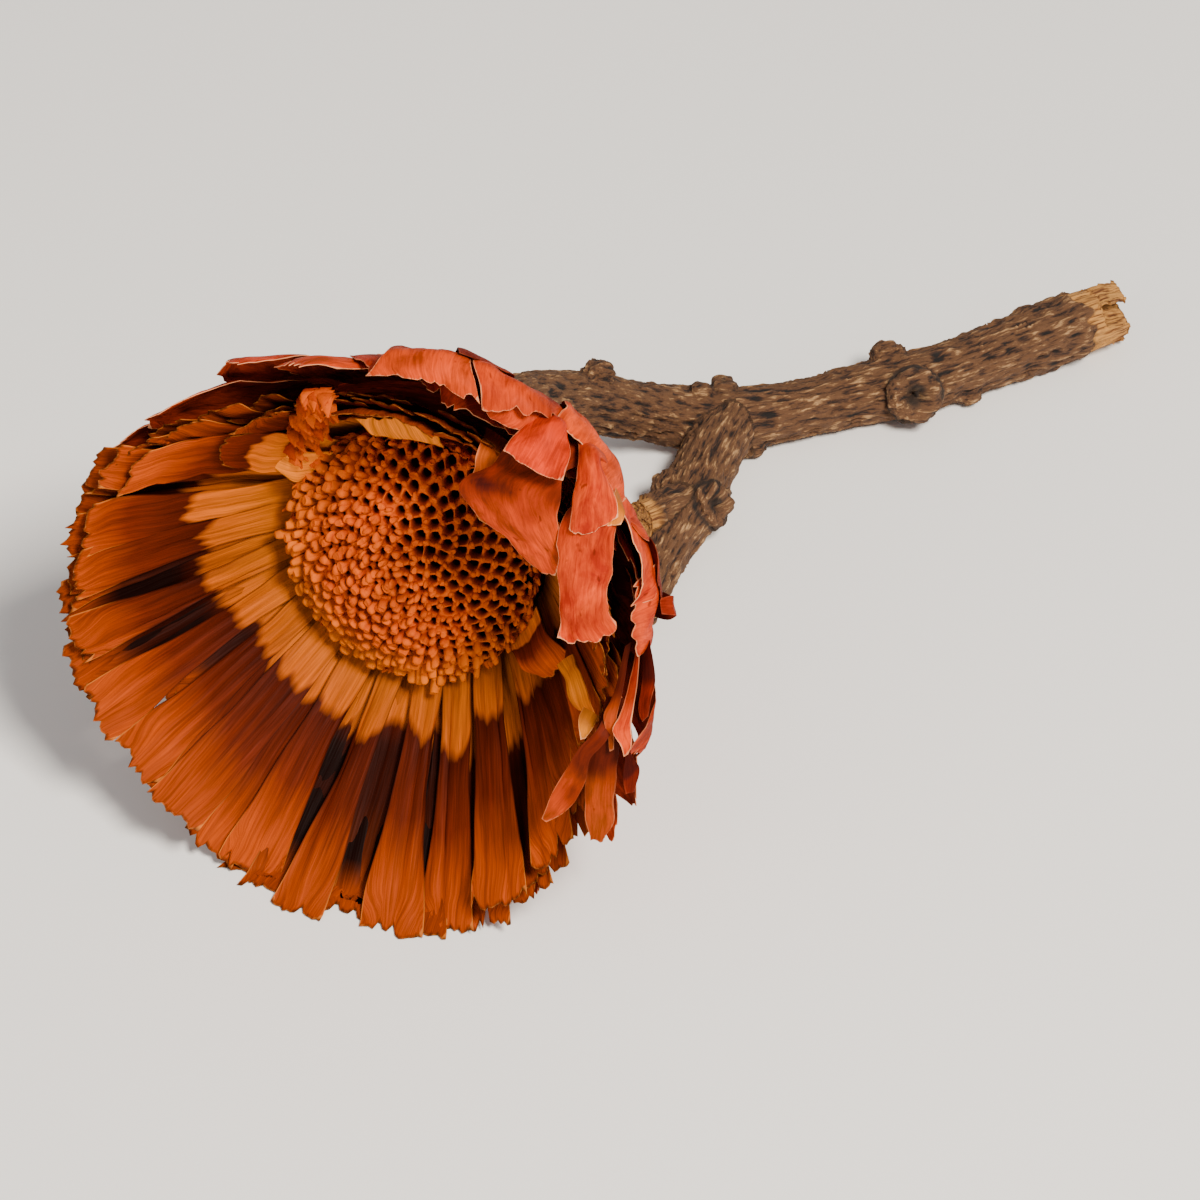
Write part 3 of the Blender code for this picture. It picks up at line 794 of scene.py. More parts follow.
@dataclass(frozen=True)
class DiscFinish:
    """Dry receptacle: pithy tissue with chaffy paleae between the florets' empty sockets.

    The eye sees dark holes, orange walls with lighter, ragged crests, and a dull fuzzy surface.
    The colour follows the height over the sockets' floor: painted shade darkens it towards the
    floor, and the lighter crests are partly the chaff's paler tissue and partly painted highlight.
    The tone attribute holds the height over the sockets' floor and how ochre the tissue is.
    """

    name: str = "dry receptacle"
    # pit is near-black painted shade at the sockets' floors and the nubs' feet; crest is partly painted
    # highlight.
    pit: str = "#190400"
    wall: str = "#922C00"
    crest: str = "#CE5604"
    chaff: str = "#CC6A04"
    fuzz_mm: float = 0.45
    cloud_mm: float = 6.25
    relief_mm: float = 0.12
    roughness: float = 0.8
    specular: float = 0.05

    def material(self) -> bpy.types.Material:
        """Builds the material.

        Returns:
            The material, which reads the lay and tone attributes.
        """
        made = Shading(self.name)
        level, tan, _ = made.numbers("tone")
        fuzz = made.noise((1 / self.fuzz_mm,) * 3, 3.0, 0.65)
        cloud = made.noise((1 / self.cloud_mm,) * 3, 2.0, 0.5)
        height = made.maths("ADD", level, made.maths("MULTIPLY_ADD", fuzz, 0.30, -0.15))
        # Painted shade darkens the colour towards the sockets' floors, and the crests are lighter, partly
        # painted highlight.
        walls = made.ramp(height, (0.10, self.pit), (0.58, self.wall), (0.98, self.crest))
        toned = made.blend(made.maths("MULTIPLY", tan, 0.8), walls, linear(self.chaff))
        made.feed(made.shader, {
            "Base Color": made.lighten(toned, made.vary(cloud, 0.82, 1.15)),
            "Roughness": self.roughness, "Specular IOR Level": self.specular,
            "Normal": made.bump(fuzz, 0.6, self.relief_mm),
        })
        return made.material


@dataclass(frozen=True)
class BarkFinish:
    """Bark of a cut woody stem, furrowed lengthwise, with bare wood where it was cut or torn.

    The eye sees grey-brown bark with short light flakes and dark cracks, dark collars round the
    knots, dark scar pits that are partly painted shade in the hollow, and straw-coloured fibres
    at the torn end. The tone attribute's numbers are the relief, how bare the wood is, and how
    dark a scar is, each from 0 to 1.
    """

    name: str = "bark and bare wood"
    crack: str = "#0C0502"
    shade: str = "#341C0C"
    brown: str = "#5A3A20"
    flake: str = "#A88054"
    wood: str = "#BC8440"
    wood_dark: str = "#5C3210"
    # Near black, for the scars: their own dark tissue, and painted shade in their pits.
    scar: str = "#100804"
    flake_mm: float = 0.55
    flake_along: float = 0.20
    relief_mm: float = 0.5
    roughness: float = 0.86

    def material(self) -> bpy.types.Material:
        """Builds the material.

        Returns:
            The material, which reads the lay and tone attributes.
        """
        made = Shading(self.name)
        raised, bare, dark = made.numbers("tone")
        cells = 1 / self.flake_mm
        flakes = made.noise((cells * self.flake_along, cells, cells), 5.0, 0.65, 0.4)
        bark = made.ramp(
            made.maths("MULTIPLY_ADD", raised, 0.42, flakes),
            (0.52, self.crack), (0.60, self.shade), (0.70, self.brown), (0.79, self.brown),
            (0.93, self.flake),
        )
        fibres = made.noise((0.16, 2.4, 2.4), 3.0, 0.5)
        wood = made.ramp(fibres, (0.36, self.wood_dark), (0.55, self.wood))
        made.feed(made.shader, {
            "Base Color": made.blend(dark, made.blend(bare, bark, wood), linear(self.scar)),
            "Roughness": self.roughness, "Normal": made.bump(flakes, 1.0, self.relief_mm),
        })
        return made.material


@dataclass
class RayBracts:
    """The ring of long narrow bracts from the disc's edge to the rim, in three layers.

    Small torn scraps of other bracts stand round the disc.
    """

    rim: tuple[float, float] = (45.0, 28.0)
    ring_inner: float = 22.2
    pairs: int = 26
    back_rays: int = 20
    lengths: tuple[float, float] = (0.95, 1.01)
    widths: tuple[float, float] = (8.4, 10.6)
    back_length: float = 0.97
    first_lift: float = 0.65
    layer_step: float = 0.9
    layer_spread: float = 0.25
    low_at: float = math.radians(275)
    low_within: float = math.radians(55)
    low_longer: float = 0.15
    far_at: float = math.radians(49)
    far_shorter: float = 0.29
    far_lean_in: float = 3.0
    upper_at: float = math.radians(128)
    upper_within: float = math.radians(22)
    upper_shorter: float = 0.13
    resting_half: float = math.radians(24)
    free_half: float = math.radians(36)
    bend_limit: float = 6.0
    thickness: float = 0.30
    columns: int = 14
    rows: int = 28
    gold_end: float = 0.38
    gold_further: float = 0.17
    gold_further_at: float = math.radians(150)
    # Rays of the second layer that have sunk, so that dark wedges show between the bundles; their colour
    # also holds the most painted shade.
    sunk: tuple = (11, 13, 14, 15, 18, 19, 20, 22)
    sunk_by: float = 1.3
    # The ray of the second and of the third layer that is short, so that a slit opens there.
    slit_by: tuple = (15, 11)
    slit_length: float = 0.72
    under_disc: float = 0.14
    rest_margin: float = 0.4
    narrowed_by_sunk: float = 0.36
    pleat_width: float = 0.22
    # Torn scraps of rays round the disc: rows of angle, radius and height, notch depth and hue.
    # Points as for the outer bracts, in degrees and millimetres, chosen to 1 degree and 0.5 mm.
    scraps: tuple = (
        # The pale triangle at the disc's left.
        ((((129, 20, 2), (138, 20, 2.5), (149, 19.5, 2)),
          ((134, 24, 6), (141, 24, 6.5), (149, 21.5, 5)),
          ((141, 27, 7.5), (143, 27, 7.5), (145, 26, 7.5))), 0.5, (2.0, 1.4, 0.0)),
        # The flat ochre piece along the disc's far edge.
        ((((78, 21.5, 3), (92, 21.5, 3), (107, 21.5, 3)),
          ((79, 25, 6.5), (93, 23.5, 6), (106, 23, 5.5)),
          ((78, 29, 8.5), (93, 28.5, 8.5), (108, 29, 8.5))), 1.2, (1.9, 1.4, 0.0)),
        # The pocket at the disc's lower right.
        ((((-38, 20, 1), (-24, 20, 1), (-12, 20, 1)),
          ((-34, 23, 5), (-24, 24.5, 7.5), (-13, 25, 6.5)),
          ((-34, 24, 5), (-25, 27, 7.5), (-15, 29, 7.5))), 0.8, (1.5, 0.30, 0.0)),
        # The thin ochre strip beside the pocket.
        ((((-13, 27, 12), (-7, 29, 12)), ((-12, 29.5, 16), (-5, 32, 18)),
          ((-14, 31.5, 18.5), (-8, 34, 20)), ((-13, 34, 20.5), (-10, 36, 22))),
         0.9, (1.15, 1.2, 0.0)),
        # The broad bright ray at the upper left, and the torn one over its root.
        ((((127, 20, -1), (139, 20, -1), (152, 20, -1)),
          ((129, 27, 7), (140, 27, 7.5), (152, 26.5, 7)),
          ((134, 32.5, 14), (143, 32.5, 14), (154, 32, 13)),
          ((139, 37.5, 20), (147, 37.5, 20), (157, 37, 19)),
          ((145, 41.5, 25), (152, 41.5, 25), (161, 41.5, 25))), 1.3, (1.45, 0.36, 0.0)),
        ((((124, 20, 0), (136, 20, 0), (149, 20, 0)),
          ((126, 26.5, 7.5), (137, 26, 8), (150, 25, 7)),
          ((130, 31, 13.5), (138, 30, 13), (149, 29, 11)),
          ((134, 34.5, 18), (139, 33.5, 17.5), (147, 31, 14))), 1.5, (1.5, 0.72, 0.0)),
    )

    def shape(self, layer: int, number: int, count: int) -> tuple:
        """The size and set of one ray bract, the same each time for the same bract.

        Args:
            layer: 0 for the innermost.
            number: its place in the layer.
            count: how many the layer has.

        Returns:
            Angle, length as a share, width, sweep, twist, bow and the tip's teeth.
        """
        draw = Draws.RAY_SHAPE.of(1000 * layer + number)
        step = 2 * math.pi / count
        angle = step * (number + 0.5 * layer + draw.uniform(-0.12, 0.12))
        length = draw.uniform(*self.lengths)
        width = draw.uniform(*self.widths)
        sweep = draw.uniform(-0.03, 0.03)
        twist = draw.uniform(0.01, 0.05)
        bow = draw.uniform(0.0, 0.3)
        teeth = [draw.uniform(-1.2, 0.4) for _ in range(4)]
        far_side = math.cos(angle - self.far_at)
        length -= self.far_shorter * smooth((far_side + 0.06) / 0.5)
        off_low = between(angle, self.low_at)
        length += self.low_longer * smooth(1 - off_low / self.low_within)
        off_upper = between(angle, self.upper_at)
        length -= self.upper_shorter * smooth(1.4 - off_upper / self.upper_within)
        if layer == 2:
            length *= self.back_length
        if layer > 0 and number == self.slit_by[layer - 1]:
            length *= self.slit_length
        return angle, length, width, sweep, twist, bow, teeth

    def surface(self, layer: int, number: int, count: int) -> Place:
        """place(u, v) of one ray bract's middle surface.

        Args:
            layer: 0 for the innermost.
            number: its place in the layer.
            count: how many the layer has.

        Returns:
            A function of u across and v along.
        """
        angle, length, width, sweep, twist, bow, teeth = self.shape(layer, number, count)
        start = Vector((self.ring_inner, 0.0))
        run = Vector(self.rim) - start
        outward = Vector((run.y, -run.x)).normalized()
        below = between(angle, math.radians(270))
        resting = smooth((self.free_half - below) / (self.free_half - self.resting_half))
        tip = start + run * length
        gap = HEAD.height_of(on_head(angle, tip.x, tip.y)) + self.rest_margin
        fall = outward.x * abs(math.sin(angle)) * math.cos(HEAD.rise) - outward.y * math.sin(HEAD.rise)
        bend = resting * min(max(0.0, gap / fall), self.bend_limit)
        free = 1 - resting
        lean = smooth(0.8 * math.cos(angle - self.far_at) + 0.5)
        fine = Draws.RAY_EDGE.of(100 * layer + number)
        notches = [fine.uniform(-0.55, 0.3) for _ in range(self.columns + 1)]
        for _ in range(fine.choice((1, 2, 2, 3))):
            notches[fine.randrange(1, self.columns)] += fine.choice((-1.9, -1.2, 0.9))
        pleats = [(fine.uniform(-0.8, 0.8), fine.uniform(0.15, 0.42)) for _ in range(3)]
        tip_curl = fine.uniform(-1.2, 1.4)
        cup = fine.uniform(-0.2, 0.6)
        waist = [fine.choice((0.0, 0.05, 0.15)) for _ in range(2)]
        if layer == 0:
            for side in (0, 1):
                if (number - 1 + side) % count in self.sunk:
                    waist[side] = self.narrowed_by_sunk
        drop = self.sunk_by * (layer == 1 and number in self.sunk)
        tilt = fine.uniform(-0.13, 0.13)
        wave = (fine.uniform(0, 6.28), fine.uniform(0, 6.28))

        def place(u: float, v: float) -> Vector:
            """A point of the bract.

            Args:
                u: from -1 to 1 across.
                v: from 0 to 1 along.

            Returns:
                The point in the head's frame.
            """
            across = 0.5 * width * (0.52 + 0.48 * v) * u
            across *= 1 - waist[u > 0] * math.sin(math.pi * min(1.0, 0.15 + 0.9 * v)) ** 2 * abs(u)
            across *= 1 + 0.03 * math.sin(17 * v + wave[u > 0])
            tooth = float(np.interp(u, (-1, -1 / 3, 1 / 3, 1), teeth))
            tooth += notches[round((u + 1) * 0.5 * self.columns)]
            share = (length + self.under_disc) * v - self.under_disc
            share += tooth * smooth((v - 0.80) / 0.20) / run.length
            lift = self.first_lift + layer * (self.layer_step + self.layer_spread * v)
            lift += drop * smooth(3 * v) - self.far_lean_in * lean * v
            lift += bow * math.sin(math.pi * v) + across * math.tan(twist + tilt) * smooth(1.5 * v)
            lift += bend * v**2 + free * tip_curl * smooth((v - 0.86) / 0.14) * 0.6
            lift -= cup * u * u * smooth(2 * v) * 0.8
            for at, depth in pleats:
                lift += depth * max(0.0, 1 - abs(u - at) / self.pleat_width) * smooth(3 * v)
            centre = start + run * share + outward * lift
            turn = angle + sweep * v * v + across / centre.x
            return on_head(turn, centre.x, centre.y)

        return place

    def build(self, material: bpy.types.Material) -> bpy.types.Object:
        """Builds every ray bract.

        Args:
            material: the bracts' finish.

        Returns:
            The piece that stands for the ray bracts' solid.
        """
        pile = MeshPile()
        for layer, count in ((0, self.pairs), (1, self.pairs), (2, self.back_rays)):
            for number in range(count):
                grid = sampled(self.surface(layer, number, count), self.columns, self.rows)
                grid = crumple(grid, 0.18, 3.1, SEED + number)
                hue = self.hue(layer, number, self.shape(layer, number, count)[0])
                add_sheet(pile, above_table(grid), self.thickness, 1.7 * number + 61 * layer, hue)
        for number, (rows, depth, hue) in enumerate(self.scraps):
            grid = crumple(loft(rows, 24, 26), 0.3, 2.4, SEED + 70 + number)
            grid = tear(grid, depth, 1.8, SEED + 75 + number)
            add_sheet(pile, grid, self.thickness, 240 + 2.9 * number, hue)
        return pile.make("ray_bracts_fibrous", HEAD.matrix(), material)

    def hue(self, layer: int, number: int, angle: float) -> np.ndarray:
        """One bract's hue at each of its rows.

        Args:
            layer: 0 for the innermost.
            number: its place in the layer.
            angle: its place round the head, in radians.

        Returns:
            Brightness, the share where the gold ends, and how much painted shade darkens it where it lies
            deep.
        """
        draw = Draws.RAY_HUE.of(100 * layer + number)
        further = smooth(1 - between(angle, self.gold_further_at) / 1.1)
        gold = self.gold_end + self.gold_further * further + draw.uniform(-0.07, 0.07)
        # Painted shade: the back layers and the sunk rays are darkened from their gold to near their tips,
        # as if in the shadow of the bracts in front.
        dark = 1.0 if layer == 1 and number in self.sunk else (0.0, 0.15, 0.8)[layer]
        share = np.linspace(0, 1, self.rows + 1)[:, None, None]
        painted_depth_shade = dark * smooth((share - gold + 0.08) / 0.14) * (1 - 0.75 * smooth((share - 0.74) / 0.16))
        bright = draw.uniform(0.82, 1.14) + 0.15 * further
        return np.concatenate([np.full_like(share, bright), np.full_like(share, gold), painted_depth_shade], axis=2)


@dataclass(frozen=True)
class Flap:
    """One outer bract of the hood that the eye tells from the others.

    Its rows run from the root to the free edge, each from the lower angle to the higher, as
    angle in degrees, radius and height of the head's frame. hue is how pink, ochre and dark it
    is. shade is the shares of its length between which painted shade fades to its own hue, and
    how much darker the painted shade makes it before them, from its root to the fold.
    """

    name: str
    hue: Point
    rows: tuple
    ragged: float = 0.9
    crumple: float = 0.6
    columns: int = 26
    along: int = 30
    shade: tuple = (0.45, 0.75, 0.45)

    def grid(self, seed: int) -> np.ndarray:
        """The bract's middle surface, crumpled, curled and torn.

        Args:
            seed: picks the pattern.

        Returns:
            The surface's points.
        """
        made = crumple(loft(self.rows, self.columns, self.along), self.crumple, 4.6, seed)
        made = curl(crumple(made, 0.3 * self.crumple, 1.6, seed + 50), 1.3 * self.crumple, 3.2, seed + 100)
        return tear(made, self.ragged, 1.7, seed + 150)

    def hues(self, grid: np.ndarray) -> np.ndarray:
        """The bract's hue, with painted shade before the fold and random dark patches.

        Args:
            grid: the surface's points.

        Returns:
            How pink, ochre and dark each point is.
        """
        pink, tan, dark = self.hue
        start, end, depth = self.shade
        share = np.linspace(0, 1, grid.shape[0])[:, None] + 0.12 * grid_grain(grid, 3.5, SEED + 61)
        # Painted shade darkens the bract from its root to the fold.
        dark_and_painted_shade = dark + depth * (1 - smooth((share - start) / (end - start)))
        dark_and_painted_shade += 0.30 * smooth(1.6 * grid_grain(grid, 5.0, SEED + 62))
        same = np.ones_like(dark_and_painted_shade)
        return np.stack([pink * same, tan * same, np.clip(dark_and_painted_shade, 0, 1)], 2)


SALMON = (1.0, 0.0, 0.0)
CORAL = (0.6, 0.10, 0.0)
ORANGE = (0.0, 0.0, 0.0)
OCHRE = (0.3, 0.85, 0.0)
RUST = (0.0, 0.3, 0.5)
DRY = (0.2, 0.0, 0.75)

# Each point is an angle round the head in degrees, then radius and height in millimetres. The
# first row is under the rim, the last is the tip; places are chosen to whole degrees and 0.5 mm.
HOOD = (
    Flap("roof, left half", (0.3, 0.12, 0.14), (
        ((76, 38, 10), (82, 38, 10), (88, 38, 10)),
        ((75, 47, 18), (82, 47, 18), (89, 45, 18)),
        ((74, 49.5, 22), (81, 49.5, 23), (89, 46.5, 23.5)),
        ((72, 49, 25), (80, 48.5, 25.5), (90, 46, 25.5)),
        ((69, 46, 25.5), (79, 47, 26), (91, 45, 26)))),
    Flap("roof, right half", (0.6, 0.05, 0.12), (
        ((58, 38, 9), (66, 38, 9), (74, 38, 9)),
        ((57, 47, 16), (66, 48, 17), (74, 47, 17)),
        ((58, 50, 21), (67, 51, 22.5), (74, 50, 22.5)),
        ((59, 50.5, 22.5), (65, 50.5, 25), (71, 49, 25)),
        ((58, 50, 23), (64, 49, 26), (69, 46.5, 26)))),
    Flap("roof, lower strip", (0.6, 0.05, 0.10), (
        ((57, 46, 15), (64, 46, 15), (71, 46, 15)),
        ((58, 49, 21.5), (65, 49.5, 23.5), (70, 47.5, 24)),
        ((58, 48.5, 21.5), (63, 47.5, 24.5), (69, 46, 24.5)),
        ((61, 47, 24.5), (63, 45.5, 24.5), (67, 45, 24.5))), 0.5, 0.25),
    Flap("red tongue", ORANGE, (
        ((53, 38, 9), (57, 38, 9), (61, 38, 9)),
        ((53, 46.5, 17), (57, 47, 18), (62, 46, 18)),
        ((55, 49, 22.5), (58, 50.5, 23.5), (61, 47.5, 23)),
        ((52, 48, 25), (57, 47.5, 27.5), (62, 45.5, 26)),
        ((50, 45.5, 26.5), (56, 44.5, 28), (62, 43, 26.5))), 0.5, 0.3),
    Flap("broad orange fold", (0.0, 0.14, 0.0), (
        ((52, 38, 9), (56, 38, 9), (61, 38, 9)),
        ((51, 46, 17), (56, 46, 17), (61, 45, 17)),
        ((49, 47.5, 21.5), (56, 45, 21.5), (62, 42, 21.5)),
        ((50, 44.5, 23), (56, 41, 23.5), (62, 37.5, 23)),
        ((47, 42, 24.5), (56, 38.5, 25), (65, 32.5, 23.5)),
        ((42, 38.5, 25), (50, 35.5, 26.5), (58, 30, 24)),
        ((35, 35.5, 24), (41, 34, 25.5), (46, 30.5, 24)),
        ((31, 33, 23), (33, 32, 23.5), (35, 31, 23))), 1.0, 0.6, 32, 44, (0.52, 0.84, 0.8)),
    Flap("lobe under the fold", OCHRE, (
        ((48, 37, 23), (54, 36, 23.5), (59, 35, 22.5)),
        ((50, 31, 23), (54, 30.5, 23.5), (58, 30, 23)),
        ((50, 29.5, 22.5), (52, 28.5, 23), (56, 28.5, 22.5))), 0.5, 0.25, 16, 16),
    Flap("right tongue", SALMON, (
        ((42, 38, 9), (47, 38, 9), (52, 38, 9)),
        ((42, 46, 16), (47, 47, 17), (52, 46.5, 17)),
        ((48, 49.5, 22), (50, 51, 24), (52, 48.5, 23)),
        ((44, 49.5, 24), (47, 50, 28), (48, 46, 26)),
        ((38, 47.5, 25), (40, 43.5, 27.5), (42, 42, 27))), 1.2, 0.4),
    Flap("pale scrap", OCHRE, (
        ((38, 46.5, 20), (42, 47.5, 20)), ((38, 48, 23), (42, 48, 24)),
        ((37, 47, 24.5), (39, 45.5, 25.5))), 0.5, 0.15, 10, 10),
    Flap("big right fold", SALMON, (
        ((28, 38, 9), (34, 38, 9), (40, 38, 9)),
        ((29, 45, 17), (35, 46, 18), (42, 45, 18)),
        ((37, 46.5, 22.5), (41, 46, 25), (44, 41, 24)),
        ((32, 44, 25), (36, 42, 28.5), (38, 37, 27)),
        ((25, 41, 25.5), (27, 38.5, 28.5), (28, 34, 27.5)),
        ((21, 40.5, 26), (18, 36.5, 28), (19, 32, 27)),
        ((19, 42, 26.5), (16, 37, 28), (18, 32, 29))), 1.1, 0.42, 30, 44),
    Flap("edge band, top", CORAL, (
        ((38, 38, 9), (47, 38.5, 9), (58, 38.5, 9)),
        ((38, 45.5, 16), (47, 48, 16), (58, 48.5, 16)),
        ((39, 46.5, 20.5), (48, 49, 20.5), (58, 50, 20.5)),
        ((40, 46, 23), (49, 49, 23), (58, 49.5, 22.5)))),
    Flap("edge band, middle", SALMON, (
        ((22, 37, 9), (30, 37.5, 9), (38, 38, 9)),
        ((22, 43.5, 16), (30, 45, 16), (38, 46, 16)),
        ((20, 44.5, 21), (30, 46, 21), (39, 46.5, 21)),
        ((21, 42.5, 24.5), (28, 45.5, 24.5), (37, 47.5, 24.5))), 1.3),
    Flap("edge band, low", SALMON, (
        ((6, 37, 10), (14, 37, 10), (24, 37.5, 10)),
        ((6, 42, 18), (14, 43, 17), (24, 44.5, 16)),
        ((8, 42, 22), (15, 43.5, 21), (25, 45.5, 21)),
        ((10, 42.5, 25), (17, 42.5, 25), (25, 44.5, 24.5))), 1.4),
    Flap("dry edge", DRY, (
        ((12, 35, 10), (28, 35, 10)), ((15, 44.5, 17), (27, 46, 17)),
        ((18, 46, 19.5), (23, 46, 20))), 0.9, 0.4, 18, 16),
    Flap("dry curl", DRY, (
        ((14, 38, 14), (19, 38, 14)), ((13, 45.5, 18), (18, 47, 18)),
        ((15, 47, 19.5), (19, 47, 19.5)), ((16, 45.5, 20.5), (19, 45.5, 20))), 0.6, 0.3, 12, 16),
    Flap("dry sliver behind the roof", DRY, (
        ((68, 38, 12), (79, 38, 12)), ((68, 49, 18), (78, 49.5, 19)),
        ((69, 50, 20), (77, 50.5, 21))), 0.8, 0.3, 18, 14),
    Flap("pale hanging strip", SALMON, (
        ((12, 41.5, 20), (10, 41, 20)), ((5, 42.5, 26), (4, 41, 25)),
        ((0, 42.5, 28), (-2, 40.5, 27.5)), ((-4, 43, 29), (-5, 40, 29)),
        ((-6, 43.5, 30), (-7, 42, 30)), ((-7, 43.5, 31), (-8, 43, 31))), 0.3, 0.15, 12, 30),
    Flap("dark half of the hanging strip", RUST, (
        ((10, 40.5, 21), (9, 39.5, 21)), ((1, 40, 25), (-1, 38.5, 25)),
        ((-4, 40, 27), (-4, 38, 27)), ((-7, 40.5, 28), (-8, 39.5, 28)),
        ((-9, 41, 29), (-10, 40.5, 29))), 0.3, 0.15, 12, 26),
    Flap("small dark tip", (0.0, 0.0, 0.6), (
        ((-6, 42.5, 28), (-7, 41.5, 28)), ((-8, 44, 30), (-9, 43, 30)),
        ((-9, 45.5, 31), (-12, 43.5, 31)), ((-14, 46, 32), (-15, 45, 32))), 0.3, 0.15, 10, 20),
    Flap("dark strip at the right", (0.2, 0.0, 0.6), (
        ((11, 42, 18), (8, 41, 18)), ((8, 43.5, 22), (5, 42, 22)), ((4, 44.5, 24), (2, 42.5, 24)),
        ((1, 44.5, 26), (-2, 43, 26)), ((-2, 44.5, 27), (-3, 44, 27))), 0.4, 0.2, 12, 24),
    Flap("split brown bract", RUST, (
        ((-3, 40.5, 22), (-4, 37, 22)), ((-8, 41, 27), (-9, 37.5, 27)),
        ((-12, 42, 28), (-15, 38, 28)), ((-18, 43.5, 30), (-22, 39.5, 30)),
        ((-22, 45.5, 32), (-25, 41.5, 32)), ((-27, 46, 33), (-28, 44, 33))), 0.8, 0.3, 18, 34),
    Flap("crossing strip", (0.0, 0.2, 0.45), (
        ((-5, 40, 25), (-4, 38, 25)), ((-8, 39.5, 28.5), (-7, 37.5, 28.5)),
        ((-12, 38.5, 29.5), (-11, 36, 29.5)), ((-20, 39, 30.5), (-18, 35.5, 30.5)),
        ((-25, 39, 31.5), (-24, 35.5, 31.5)), ((-31, 37.5, 32.5), (-31, 36.5, 32.5))), 0.5, 0.25, 16, 34),
    Flap("pale chip", (0.0, 1.0, 0.0), (
        ((-10, 36.5, 22), (-9, 34, 22)), ((-11, 36.5, 24), (-10, 34, 24)),
        ((-14, 36, 25), (-15, 35.5, 25))), 0.2, 0.1, 8, 10),
    Flap("pale curl", (0.7, 0.4, 0.0), (
        ((58, 37, 15), (67, 37, 15)), ((60, 37.5, 20.5), (66, 36, 20)),
        ((58, 35, 20), (65, 33.5, 20.5)), ((56, 32, 18), (62, 29.5, 18))),
         1.3, 0.45, 18, 22, (0.2, 0.5, 0.4)),
)


